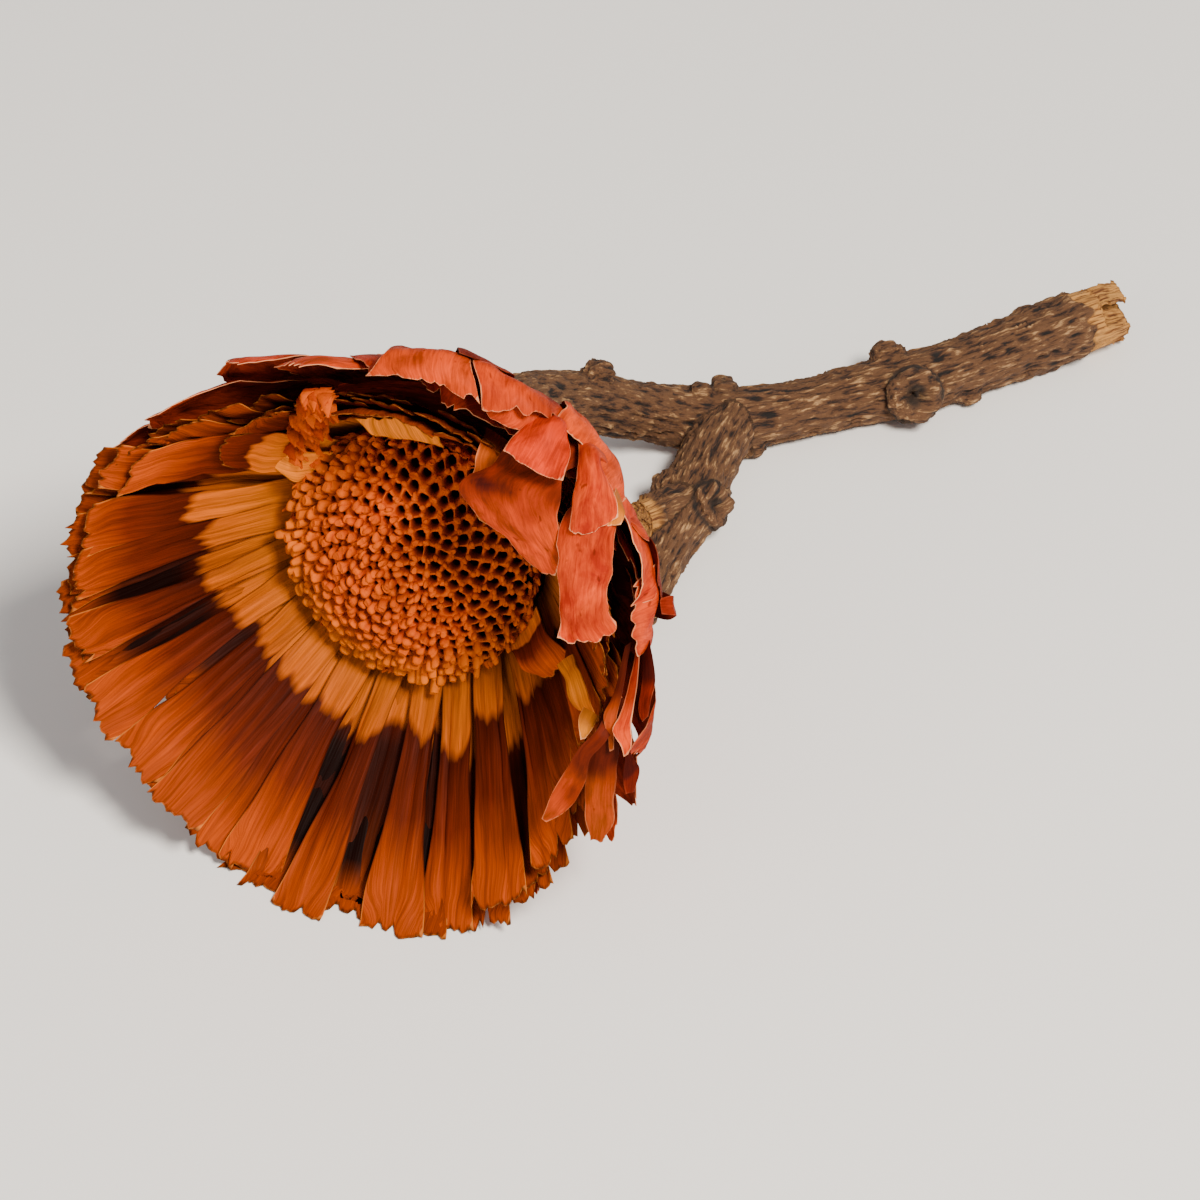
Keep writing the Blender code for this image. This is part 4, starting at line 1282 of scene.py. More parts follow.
@dataclass
class OuterBracts:
    """The broad papery bracts round the outside of the bowl, and those folded over its rim."""

    cup: tuple = (
        (6.0, -22.0), (13.0, -20.0), (20.0, -15.0), (25.5, -8.5), (29.6, 0.0),
        (34.6, 8.0), (39.5, 16.0), (44.0, 24.0), (48.2, 32.0),
    )
    whorl_opening: float = math.radians(8.6)
    upper_opening: float = math.radians(3.4)
    root_depth: float = 0.9
    second_lift: float = 1.1
    stem_hole: float = 5.3
    thickness: float = 0.32
    columns: int = 16
    rows: int = 22
    # Count, start along the cup, length, width, turn at the tip and the shares where it turns.
    whorls: tuple = (
        (6, 1.5, 11.0, 10.5, -6.0, 0.5, 1.0),
        (7, 8.0, 14.0, 13.5, -4.0, 0.5, 1.0),
        (8, 14.5, 17.0, 15.5, -2.0, 0.6, 1.0),
        (9, 21.0, 20.0, 17.0, 0.0, 0.6, 1.0),
    )
    # Angle round the head, start, length, width, turn and its two shares.
    upper: tuple = (
        (-51, 28.5, 36.0, 9.0, -10.0, 0.5, 1.0),
        (-37, 27.0, 38.0, 10.0, -6.0, 0.5, 1.0),
        (-23, 28.5, 38.0, 10.0, 8.0, 0.5, 1.0),
        (-8, 27.0, 40.0, 11.5, 42.0, 0.65, 0.9),
        (8, 28.5, 31.0, 13.5, 20.0, 0.56, 1.0),
        (23, 27.0, 34.0, 15.0, 20.0, 0.56, 1.0),
        (39, 28.5, 31.0, 15.5, 30.0, 0.60, 1.0),
        (55, 27.0, 35.0, 16.0, 35.0, 0.57, 1.0),
        (71, 28.5, 32.0, 16.5, 35.0, 0.64, 1.0),
        (87, 27.0, 37.0, 17.0, 30.0, 0.66, 1.0),
        (103, 28.5, 38.0, 16.5, 16.0, 0.60, 1.0),
        (119, 27.0, 38.0, 16.0, 12.0, 0.60, 1.0),
        (135, 28.5, 35.5, 15.0, 12.0, 0.5, 1.0),
        (152, 27.0, 34.0, 14.0, 8.0, 0.7, 1.0),
        (170, 28.5, 31.0, 14.0, -3.0, 0.7, 1.0),
        (190, 27.0, 30.0, 14.5, 0.0, 0.7, 1.0),
        (206, 28.5, 27.0, 14.5, 0.0, 0.7, 1.0),
        (235, 27.0, 24.0, 14.0, -12.0, 0.3, 1.0),
        (253, 28.5, 16.5, 14.0, 0.0, 0.7, 1.0),
        (273, 27.0, 17.0, 13.0, 0.0, 0.7, 1.0),
        (292, 28.5, 16.0, 12.0, 0.0, 0.7, 1.0),
    )

    def cup_at(self, distance: float) -> tuple[float, float, float]:
        """Where the bowl's outside is.

        Args:
            distance: how far up from the neck, in millimetres.

        Returns:
            Radius, height and heading.
        """
        left = distance
        for (r0, h0), (r1, h1) in zip(self.cup, self.cup[1:]):
            span = math.hypot(r1 - r0, h1 - h0)
            if left <= span or (r1, h1) == self.cup[-1]:
                break
            left -= span
        share = left / span
        return r0 + (r1 - r0) * share, h0 + (h1 - h0) * share, math.atan2(h1 - h0, r1 - r0)

    def every_bract(self) -> Iterator[tuple]:
        """Every bract that grows up the bowl.

        Yields:
            Number, opening, lift, angle, start, length, width, turn and its two shares.
        """
        number = 0
        for row, (count, start, length, width, *turn) in enumerate(self.whorls):
            for n in range(count):
                draw = Draws.WHORL.of(number)
                angle = 2 * math.pi * (n + 0.5 * (row % 2) + draw.uniform(-0.08, 0.08)) / count
                stretch = draw.uniform(0.92, 1.08)
                yield number, self.whorl_opening, 0.0, angle, start, length * stretch, width, *turn
                number += 1
        for degrees, *rest in self.upper:
            raised = self.second_lift * (number % 2)
            yield number, self.upper_opening, raised, math.radians(degrees), *rest
            number += 1

    def surface(self, number: int, opening: float, raised: float, angle: float, start: float,
                length: float, width: float, bend: float, turn_from: float, turn_to: float) -> Place:
        """place(u, v) of one bract's middle surface.

        Args:
            number: its number, which seeds its irregularities.
            opening: how far it opens from the bowl, in radians.
            raised: how far it stands off the layer under it.
            angle: its place round the head.
            start: where it leaves the bowl, along the cup.
            length: its length.
            width: its greatest width.
            bend: the turn near its tip in degrees, inward positive.
            turn_from: the share of its length where the turn starts.
            turn_to: the share where it ends.

        Returns:
            A function of u across and v along.
        """
        draw = Draws.BRACT_SHAPE.of(number)
        edge = [draw.uniform(0.82, 1.08) for _ in range(4)]
        teeth = [draw.uniform(-0.09, 0.03) for _ in range(4)]
        lean = draw.uniform(-0.06, 0.06)
        sway = draw.uniform(0.05, 0.2)
        steps = 24
        radius, height, _ = self.cup_at(start)
        path = [(radius, height)]
        for n in range(steps):
            v = (n + 0.5) / steps
            heading = self.cup_at(start + v * length)[2] - opening
            heading += math.radians(bend) * smooth((v - turn_from) / (turn_to - turn_from))
            radius += math.cos(heading) * length / steps
            height += math.sin(heading) * length / steps
            path.append((radius, height))
        marks = np.linspace(0, 1, steps + 1)
        radii, heights = np.array(path).T
        fine = Draws.BRACT_EDGE.of(number)
        rough = [fine.uniform(-0.045, 0.02) for _ in range(self.columns + 1)]
        rough[fine.randrange(3, self.columns - 2)] -= fine.uniform(0.03, 0.10)
        ripple = [fine.uniform(0, 6.28) for _ in range(3)]
        hollow = fine.uniform(0.2, 0.9)

        def place(u: float, v: float) -> Vector:
            """A point of the bract.

            Args:
                u: from -1 to 1 across.
                v: from 0 to 1 along.

            Returns:
                The point in the head's frame.
            """
            knots = (-1, -1 / 3, 1 / 3, 1)
            tip = float(np.interp(u, knots, teeth)) + rough[round((u + 1) * 0.5 * self.columns)]
            v = v * (1 - 0.14 * u * u * v) + tip * smooth((v - 0.7) / 0.3)
            ovate = 0.55 + 0.60 * math.sin(math.pi * min(1.0, 0.12 + 0.78 * v)) - 0.32 * v**4
            half = 0.5 * width * ovate * float(np.interp(u, knots, edge))
            half *= 1 + 0.035 * math.sin(21 * v + ripple[0]) + 0.03 * math.sin(47 * v + ripple[1])
            r, h = float(np.interp(v, marks, radii)), float(np.interp(v, marks, heights))
            low, high = max(v - 0.02, 0), min(v + 0.02, 1)
            normal = Vector((
                float(np.interp(high, marks, heights) - np.interp(low, marks, heights)),
                float(np.interp(low, marks, radii) - np.interp(high, marks, radii)),
            )).normalized()
            off = (sway * u - 0.2 * u * u) * smooth(2 * v) + raised * smooth(3 * v)
            off -= self.root_depth * (1 - smooth(5 * v))
            off -= hollow * u * u * smooth(1.5 * v)
            off += 0.35 * math.sin(3 * u + 5 * v + ripple[2]) * smooth((v - 0.3) / 0.7)
            r, h = r + normal.x * off, h + normal.y * off
            turn = angle + lean * v * v + u * half / max(r, 10.0)
            return on_head(turn, r, h)

        return place

    def shell(self, pile: MeshPile) -> None:
        """Adds the closed bowl that the bracts' bases make.

        Args:
            pile: what the bowl is added to.
        """
        first, apart = 2.0, 4.8
        outside = [self.cup_at(first + step * apart)[:2] for step in range(7)]
        floor = -19.9
        inside = [(25.9, -2.4), (25.6, -4.7), (21.2, -4.9), (19.1, -10.2), (14.1, -16.4), (9.0, floor),
                  (self.stem_hole, floor)]
        profile = [(self.stem_hole, outside[0][1] - 0.4), *outside, *inside]
        steps = 96
        angles = np.linspace(0, 2 * math.pi, steps, endpoint=False)
        rings = np.array([[(r * math.cos(a), r * math.sin(a), h) for r, h in profile] for a in angles])
        rows = len(profile)
        numbers = np.arange(steps * rows).reshape(steps, rows)
        after = np.roll(numbers, -1, axis=0)
        beside, beside_after = np.roll(numbers, -1, axis=1), np.roll(after, -1, axis=1)
        faces = np.stack([numbers, after, beside_after, beside], axis=2).reshape(-1, 4)
        points = rings.reshape(-1, 3)
        lay = points * 0.5
        tone = np.tile((0.2, 3.0, 0.4), (len(points), 1))
        pile.add(points, faces, lay, tone)

    def build(self, material: bpy.types.Material) -> bpy.types.Object:
        """Builds the bowl and every outer bract.

        Args:
            material: the bracts' finish.

        Returns:
            The piece that stands for the outer bracts' solid.
        """
        pile = MeshPile()
        self.shell(pile)
        for number, *setting in self.every_bract():
            grid = sampled(self.surface(number, *setting), self.columns, self.rows)
            grid = crumple(grid, 0.35, 5.5, SEED + 300 + number)
            grid = crumple(grid, 0.12, 1.9, SEED + 500 + number)
            draw = Draws.BRACT_HUE.of(number)
            hue = (draw.uniform(0.0, 0.5), draw.uniform(0.0, 0.15), draw.uniform(0.1, 0.45))
            add_sheet(pile, above_table(grid), self.thickness, 2.3 * number, hue)
        for number, flap in enumerate(HOOD):
            grid = flap.grid(SEED + 600 + 3 * number)
            add_sheet(pile, grid, self.thickness, 150 + 3.7 * number, flap.hues(grid))
            LOG.debug("folded bract: %s", flap.name)
        return pile.make("outer_bracts_papery", HEAD.matrix(), material)


@dataclass
class Receptacle:
    """The domed disc: a round socket for each floret, and blunt nubs of chaff on the walls.

    Pointed scales fringe it, and a ridge of them climbs the bowl at the upper left.
    """

    radius: float = 20.7
    narrowing: float = 0.91
    dome_height: float = 7.0
    edge_height: float = 0.7
    wall_rise: float = 0.55
    florets: int = 285
    spare: int = 70
    jitter: float = 0.30
    socket_depth: float = 2.4
    edge_steps: int = 3
    skirt: float = -3.0
    base: float = -19.5
    bristles: int = 190
    column_scales: int = 170
    # The ridge starts at ridge_at degrees, turns by ridge_turn as it climbs, and bends back.
    ridge_at: float = 142
    ridge_turn: float = 60
    ridge_bend: float = 22
    ridge_root: float = 21.0
    ridge_run: float = 17.5
    ridge_slope: float = 1.106
    ridge_foot: float = 21.5

    def dome(self, radius: float | np.ndarray) -> float | np.ndarray:
        """Height of the dome at a radius."""
        return self.edge_height + self.dome_height * (1 - (radius / self.radius) ** 2)

    def openness(self, x: float, y: float) -> float:
        """How open the sockets are there, from 0 where nubs fill them to 1 at the upper right."""
        return float(smooth((0.80 * x + 0.45 * y + 3.5) / 11))

    def centres(self) -> np.ndarray:
        """Floret places in a sunflower spiral, with spare ones outside the disc.

        Returns:
            Rows of x and y.
        """
        golden = math.pi * (3 - math.sqrt(5))
        spacing = self.radius / math.sqrt(self.florets)
        places = []
        for n in range(self.florets + self.spare):
            draw = Draws.FLORET.of(n)
            radius = spacing * math.sqrt(n + 0.5)
            shift = (draw.uniform(-1, 1) * self.jitter, draw.uniform(-1, 1) * self.jitter)
            places.append((radius * math.cos(n * golden) + shift[0],
                           radius * math.sin(n * golden) + shift[1]))
        return np.array(places)

    def build(self, material: bpy.types.Material) -> bpy.types.Object:
        """Builds the disc.

        Args:
            material: the disc's finish.

        Returns:
            The piece that stands for the receptacle's solid.
        """
        pile = MeshPile()
        self.sockets(pile)
        self.bowl(pile)
        self.chaff(pile)
        for block in pile.points:
            block[:, 0] *= self.narrowing
        self.column(pile)
        return pile.make("receptacle_florets", HEAD.matrix(), material)

    def sockets(self, pile: MeshPile) -> None:
        """Adds the pitted skin cell by cell, and a nub at each corner where three cells meet.

        Args:
            pile: what they are added to.
        """
        flat = [Vector(c) for c in self.centres()]
        points, _, triangles, *_ = delaunay_2d_cdt(flat, [], [], 0, 1e-9)
        corners = []
        for number, triangle in enumerate(triangles):
            corner = circumcentre(*(points[i] for i in triangle))
            if corner.length < self.radius:
                self.nub(pile, number, corner)
            corners.append(corner.normalized() * min(corner.length, self.radius + 0.2))
        around: dict[int, list[int]] = {}
        for index, triangle in enumerate(triangles):
            for n in triangle:
                around.setdefault(n, []).append(index)
        for n in range(self.florets):
            centre = Vector(points[n])
            ring = sorted(around[n], key=lambda i: math.atan2(*(corners[i] - centre).yx))
            self.cell(pile, n, centre, [corners[i] for i in ring])

    def ochre(self, points: np.ndarray) -> np.ndarray:
        """How ochre the tissue is: most at the disc's lower left edge.

        Args:
            points: rows of x, y and height.

        Returns:
            A share for each row.
        """
        edge = smooth((np.linalg.norm(points[:, :2], axis=1) - 12) / 9)
        low_left = np.clip(0.5 - (points[:, 0] * 0.45 + points[:, 1] * 0.89) / 40, 0, 1)
        return edge * low_left

    def cell(self, pile: MeshPile, number: int, centre: Vector, ring: list[Vector]) -> None:
        """Adds one socket with its share of the walls.

        Args:
            pile: what the cell is added to.
            number: the floret's number.
            centre: the floret's place.
            ring: the cell's corners, in order.
        """
        border = []
        for a, b in zip(ring, ring[1:] + ring[:1]):
            border += [a.lerp(b, k / self.edge_steps) for k in range(self.edge_steps)]
        border = np.array([tuple(p) for p in border])
        middle = np.array(tuple(centre))
        away = border - middle
        reach = np.linalg.norm(away, axis=1)[:, None]
        draw = Draws.SOCKET.of(number)
        open_share = self.openness(*middle)
        hole = (0.30 + 0.30 * open_share) * draw.uniform(0.85, 1.12)
        depth = self.socket_depth * draw.uniform(0.8, 1.1)
        rough = grain(np.column_stack([border * 1.7, np.zeros(len(border))]), SEED + 21) * 0.38
        round_reach = 0.25 * reach + 0.75 * reach.mean()
        rows, levels = [], []
        # Each row's fourth number is the level that the finish colours by: low levels deep in the socket
        # get painted shade.
        profile = ((1.0, 0.0, 0.0, 0.92), (0.84, 0.04, 0.3, 0.88), (hole + 0.14, -0.16, 1.0, 0.70),
                   (hole, -0.55, 1.0, 0.42), (0.92 * hole, -1.4, 1.0, 0.12),
                   (0.6 * hole, -depth, 1.0, 0.0), (0.02, -depth, 1.0, 0.0))
        for share, drop, rounded, level in profile:
            span = (reach * (1 - rounded) + round_reach * rounded) * share
            flat = middle + away / np.maximum(reach, 1e-6) * span
            radius = np.linalg.norm(flat, axis=1)
            top = self.dome(np.minimum(radius, self.radius + 0.4)) + self.wall_rise + drop
            rows.append(np.column_stack([flat, top + rough * (drop > -1)]))
            levels.append(np.full(len(border), level) + 0.4 * rough * (drop > -1))
        points = np.concatenate(rows)
        level = np.concatenate(levels)
        tone = np.column_stack([level, self.ochre(points) * (level > 0.5), np.ones(len(points))])
        pile.add(points, ring_faces(len(rows), len(border)), points, tone)

    def nub(self, pile: MeshPile, number: int, place: Vector) -> None:
        """Adds one blunt nub of chaff, squashed, tilted outward and a little crumpled.

        Args:
            pile: what it is added to.
            number: its number, which seeds its irregularities.
            place: where it stands, seen along the axis.
        """
        draw = Draws.NUB.of(number)
        out = Vector((*place.normalized(), 0.0))
        angle = math.degrees(math.atan2(place.y, place.x)) % 360
        open_share = self.openness(*place)
        edge = smooth((place.length - 11) / 8)
        tall = edge * (100 < angle < 200 or 275 < angle < 345) * draw.random()
        height = (1.45 - 0.95 * open_share + 1.5 * tall) * draw.uniform(0.75, 1.25)
        half = (0.80 - 0.28 * open_share) * draw.uniform(0.82, 1.15)
        slope = 2 * self.dome_height * place.length / self.radius**2
        axis = (Vector((0, 0, 1)) + out * (slope + 0.15 + 0.55 * edge * draw.random())).normalized()
        axis = (axis + Vector((draw.uniform(-0.2, 0.2), draw.uniform(-0.2, 0.2), 0))).normalized()
        side = axis.cross(out).normalized()
        front = side.cross(axis)
        flatten = draw.uniform(0.62, 0.95)
        spin = draw.uniform(0, 6.28)
        sunk = draw.choice((0.0, 0.0, 0.25)) * half
        foot = Vector((*place, self.dome(place.length) + self.wall_rise - 0.5))
        rows = []
        sides = 9
        profile = ((1.05, 0.0), (0.98, 0.45), (1.0, 0.72), (0.80, 0.93), (0.42, 1.0), (0.02, 1.0))
        for step, (share, up) in enumerate(profile):
            ring = []
            for n in range(sides):
                a = 2 * math.pi * n / sides
                wobble = 1 + 0.16 * math.sin(2 * a + spin) + 0.10 * math.sin(3 * a + 2 * spin + up)
                spot = foot + side * (half * share * wobble * math.cos(a))
                spot += front * (half * flatten * share * wobble * math.sin(a))
                ring.append(spot + axis * ((height + 0.5) * up - sunk * (step > 3)))
            rows.append(ring)
        grid = np.array(rows, float)
        points = grid.reshape(-1, 3)
        points += grain(points * 1.1, SEED + 41)[:, None] * 0.16
        # The nub's foot has a low level, so the finish paints shade where it meets the disc.
        level = np.repeat([0.45, 0.70, 0.84, 0.92, 0.95, 0.95], sides) + draw.uniform(-0.10, 0.08)
        tone = np.column_stack([level, self.ochre(points), np.ones(len(points))])
        pile.add(points, ring_faces(len(rows), sides), points, tone)

    def bowl(self, pile: MeshPile) -> None:
        """Adds the skirt under the disc's edge and the woody bowl below it.

        Args:
            pile: what the bowl is added to.
        """
        profile = [(self.radius + 0.1, 1.2), (self.radius + 0.1, self.skirt), (20.0, -4.2), (18.6, -10.0),
                   (13.6, -16.0), (8.5, self.base), (0.01, self.base)]
        steps = 96
        angles = np.linspace(0, 2 * math.pi, steps + 1)
        grid = np.array([[(r * math.cos(a), r * math.sin(a), h) for a in angles] for r, h in profile])
        flat = grid.reshape(-1, 3)
        tone = np.tile((0.5, 0.2, 1.0), (len(flat), 1))
        pile.add(flat, grid_faces(len(profile), steps + 1, True), flat, tone)

    def chaff(self, pile: MeshPile) -> None:
        """Adds pointed chaffy scales that fringe the disc over the ray bracts' roots.

        Args:
            pile: what the scales are added to.
        """
        for n in range(self.bristles):
            draw = Draws.BRISTLE.of(n)
            angle = 2 * math.pi * (n + draw.uniform(-0.4, 0.4)) / self.bristles
            upper_left = smooth(1 - between(angle, math.radians(140)) / 0.8)
            length = draw.uniform(1.0, 2.0) + 2.4 * upper_left * draw.random()
            root = self.radius + draw.uniform(-0.7, 0.2)
            height = self.dome(min(root, self.radius)) - 0.3
            self.scale(pile, draw, (angle, root, height), length, draw.uniform(0.8, 1.6),
                       draw.uniform(0.35, 1.2))

    def column(self, pile: MeshPile) -> None:
        """Adds the ridge of curved scales that climbs from the disc up the bowl's upper left.

        Args:
            pile: what the scales are added to.
        """
        for n in range(self.column_scales):
            draw = Draws.RIDGE.of(n)
            up = draw.random() ** 0.8
            aside = draw.uniform(-5.0, 6.0) * (1.25 - 0.8 * up)
            angle = math.radians(self.ridge_at - self.ridge_turn * up + self.ridge_bend * up**2 + aside)
            root = self.ridge_root + self.ridge_run * up
            height = self.ridge_slope * (root - self.ridge_foot) + draw.uniform(0.8, 2.6)
            self.scale(pile, draw, (angle, root, height), draw.uniform(1.8, 3.4), draw.uniform(1.4, 2.8),
                       draw.uniform(1.2, 2.6))

    def scale(self, pile: MeshPile, draw: random.Random, root: Point, length: float, width: float,
              lean: float) -> None:
        """Adds one small curved scale.

        Args:
            pile: what it is added to.
            draw: where its irregularities come from.
            root: its root's angle in radians, radius and height.
            length: its length.
            width: its width.
            lean: how steeply it stands, in radians from the outward direction.
        """
        angle, radius, height = root
        swing = draw.uniform(-0.5, 0.5)
        rows = []
        for j in range(6):
            v = j / 5
            out = length * v * math.cos(lean * (0.5 + 0.7 * v))
            up = height + length * v * math.sin(lean * (0.5 + 0.7 * v))
            half = 0.5 * width * (1 - v**2.6) + 0.08
            rows.append([
                on_head(angle + (swing * v * length + u * half) / radius, radius + out, up - 0.25 * u * u)
                for u in (-1, -0.4, 0.4, 1)
            ])
        spot = np.array([on_head(angle, radius, 0)])
        tint = (0.15 + 0.85 * draw.random()) * float(self.ochre(spot)[0]) * (radius < self.radius + 0.5)
        add_sheet(pile, np.array(rows, float), 0.4, 0.0)
        size = len(pile.points[-1])
        pile.lay[-1] = pile.points[-1]
        pile.tone[-1] = np.column_stack([
            np.full(size, draw.uniform(0.6, 0.95)), np.full(size, tint), np.ones(size),
        ])


def circumcentre(a: Vector, b: Vector, c: Vector) -> Vector:
    """The centre of the circle through three corners, in the plane.

    Args:
        a: the first corner.
        b: the second.
        c: the third.

    Returns:
        The centre.
    """
    d = 2 * (a.x * (b.y - c.y) + b.x * (c.y - a.y) + c.x * (a.y - b.y))
    aa, bb, cc = a.length_squared, b.length_squared, c.length_squared
    return Vector((
        (aa * (b.y - c.y) + bb * (c.y - a.y) + cc * (a.y - b.y)) / d,
        (aa * (c.x - b.x) + bb * (a.x - c.x) + cc * (b.x - a.x)) / d,
    ))


@dataclass(frozen=True)
class Scar:
    """A knot's open face, where a leaf or a shoot was shed.

    centre is on the knot, facing is the way that it looks, and the sizes are in millimetres.
    """

    centre: Point
    facing: Point
    radius: float
    lip: float
    depth: float


@dataclass
class Branch:
    """The cut branch: stem and rising arm, side shoot, pruned stub, knots and torn end.

    Centreline points are x, y, z and radius, from the torn end of the stem to the head's neck.
    """

    stem: tuple = (
        (113.6, 89.4, 6.1, 4.9), (108.6, 87.6, 5.9, 5.8), (102.0, 84.4, 5.5, 5.5),
        (94.0, 80.6, 5.0, 5.1), (84.4, 75.6, 4.7, 4.8), (77.5, 72.5, 5.0, 5.2),
        (70.0, 70.6, 4.6, 4.7), (60.0, 67.4, 4.5, 4.6), (52.0, 64.8, 4.9, 5.0),
        (45.0, 64.2, 5.1, 5.1), (38.0, 63.4, 6.8, 4.8), (31.0, 60.4, 11.0, 4.7),
        (24.0, 56.2, 16.4, 4.8), (17.5, 50.9, 21.8, 4.7), (13.2, 44.6, 26.0, 4.7),
        (11.4, 37.6, 29.2, 4.7),
    )
    shoot: tuple = (
        (49.5, 64.6, 5.6, 4.2), (46.2, 58.0, 5.4, 4.9), (43.6, 51.0, 5.2, 5.0),
        (41.4, 44.0, 5.1, 5.2), (38.4, 36.6, 4.6, 4.4), (35.4, 29.0, 4.3, 4.1),
        (32.6, 21.6, 4.2, 4.0),
    )
    stub: tuple = ((42.0, 44.0, 6.5, 3.4), (38.5, 40.6, 7.8, 3.3), (33.6, 36.6, 9.2, 3.4))
    # Centre, then half-sizes along x, y and z.
    knots: tuple = (
        (78.4, 69.2, 6.2, 4.9, 4.4, 4.7), (87.5, 73.5, 2.2, 2.4, 2.2, 1.9),
        (74.5, 75.6, 8.2, 3.0, 2.8, 2.4), (52.5, 61.2, 1.9, 2.4, 2.2, 1.8),
        (47.6, 66.6, 9.4, 2.3, 2.2, 1.8), (43.8, 65.0, 10.2, 1.9, 1.9, 1.6),
        (27.4, 59.0, 20.2, 2.6, 2.3, 1.9), (44.4, 43.0, 6.4, 3.6, 3.9, 4.0),
        (39.0, 46.6, 6.8, 3.2, 3.0, 3.4), (108.0, 84.2, 4.6, 3.0, 2.4, 3.2),
        (98.0, 84.8, 8.6, 2.6, 2.2, 1.9),
    )
    scars: tuple = (
        Scar((78.4, 69.2, 6.2), (0.05, -0.80, 0.60), 3.4, 0.9, 2.2),
        Scar((44.4, 43.0, 6.4), (0.45, -0.60, 0.60), 2.6, 0.7, 1.6),
        Scar((47.6, 66.6, 9.4), (0.0, 0.2, 0.95), 1.4, 0.3, 0.9),
    )
    neck_radius: float = 4.7
    neck_gap: float = 0.4
    head_base: float = -19.5
    bare_from_end: float = 8.5
    # Each split of the torn end: its centre, length and width, and its slope in degrees.
    slots: tuple = (
        (115.0, 90.0, 8.4, 13.0, 2.5, 8.0),
        (115.6, 89.0, 3.6, 9.0, 1.9, -9.0),
    )
    end_heading: float = math.radians(24.0)
    slot_across: float = 14.0
    furrow_rise: float = 0.36
    crack_rise: float = 0.20
    flake_rise: float = 0.22
    lump_rise: float = 0.40
    ring_rise: float = 0.22
    ring_mm: float = 2.1
    fibre_rise: float = 0.40
    bare_depth: float = 0.65
    stub_bare: float = 4.4
    scar_reach: float = 7.5
    sides: int = 28
    voxel: float = 0.36
    # What the distance along starts at rises by this from limb to limb.
    limb_step: float = 400.0

    def neck(self) -> list[tuple]:
        """The arm's last points, along the head's axis to just under its base.

        Returns:
            Rows of x, y, z and radius.
        """
        found = []
        for below in (self.neck_gap + 9.0, self.neck_gap + 4.5, self.neck_gap):
            point = HEAD.pose() @ Vector((0, 0, self.head_base - below))
            found.append((*point, self.neck_radius))
        return found

    def line(self, points: list[tuple], steps: int = 6) -> np.ndarray:
        """Samples a clamped quadratic B-spline.

        Args:
            points: its control points, with the radius as the fourth number.
            steps: samples for each control point.

        Returns:
            Rows of x, y, z and radius.
        """
        control = np.array(points, float)
        starts = np.concatenate([control[:1], (control[1:-2] + control[2:-1]) / 2])
        ends = np.concatenate([(control[1:-2] + control[2:-1]) / 2, control[-1:]])
        t = np.linspace(0, 1, steps, endpoint=False)[:, None]
        runs = [
            (1 - t) ** 2 * a + 2 * t * (1 - t) * b + t**2 * c
            for a, b, c in zip(starts, control[1:-1], ends)
        ]
        return np.concatenate([*runs, control[-1:]])

    def tube(self, bm: bmesh.types.BMesh, line: np.ndarray) -> None:
        """Adds a closed round tube along a line.

        Args:
            bm: what it is added to.
            line: rows of x, y, z and radius.
        """
        rings = []
        for index, row in enumerate(line):
            ahead = line[min(index + 1, len(line) - 1), :3] - line[max(index - 1, 0), :3]
            turn = Vector(ahead).to_track_quat("Z", "Y").to_matrix()
            ring = []
            for n in range(self.sides):
                a = 2 * math.pi * n / self.sides
                spot = turn @ Vector((math.cos(a), math.sin(a), 0)) * float(row[3])
                ring.append(bm.verts.new(Vector(row[:3]) + spot))
            rings.append(ring)
        for low, high in zip(rings, rings[1:]):
            first = high[0].co
            offset = min(range(self.sides), key=lambda n: (low[n].co - first).length)
            for n in range(self.sides):
                a, b = low[(n + offset) % self.sides], low[(n + 1 + offset) % self.sides]
                bm.faces.new((a, b, high[(n + 1) % self.sides], high[n]))
        bm.faces.new(rings[0][::-1])
        bm.faces.new(rings[-1])

    def body(self, lines: list[np.ndarray]) -> bpy.types.Mesh:
        """Joins the limbs and knots to one skin of small, even quads.

        Args:
            lines: the limbs' centrelines.

        Returns:
            The skin's mesh, in millimetres.
        """
        bm = bmesh.new()
        for line in lines:
            self.tube(bm, line)
        for x, y, z, *half in self.knots:
            made = bmesh.ops.create_icosphere(bm, subdivisions=3, radius=1.0)
            for vert in made["verts"]:
                vert.co = Vector((x, y, z)) + Vector(c * h for c, h in zip(vert.co, half))
        bmesh.ops.recalc_face_normals(bm, faces=bm.faces)
        holder = add_object("branch skin", mesh_from(bm, "branch skin"))
        cutters = []
        for x, y, z, long, wide, slope in self.slots:
            bm = bmesh.new()
            bmesh.ops.create_cube(bm, size=1.0)
            bm.transform(Matrix.Rotation(math.radians(slope), 4, "Y")
                         @ Matrix.Diagonal((long, self.slot_across, wide, 1)))
            bm.transform(Matrix.Translation((x, y, z)) @ Matrix.Rotation(self.end_heading, 4, "Z"))
            cutters.append(add_object("slot", mesh_from(bm, "slot")))
        self.remesh(holder)
        for cutter in cutters:
            cut = holder.modifiers.new("cut", "BOOLEAN")
            cut.operation = "DIFFERENCE"
            cut.object = cutter
            cut.solver = "MANIFOLD"
        self.remesh(holder)
        bpy.context.view_layer.update()
        graph = bpy.context.evaluated_depsgraph_get()
        made = bpy.data.meshes.new_from_object(holder.evaluated_get(graph))
        for used in (holder, *cutters):
            bpy.data.objects.remove(used)
        return made

    def remesh(self, holder: bpy.types.Object) -> None:
        """Adds a modifier that makes small, even quads.

        Args:
            holder: what it is added to.
        """
        skin = holder.modifiers.new("skin", "REMESH")
        skin.mode = "VOXEL"
        skin.voxel_size = self.voxel

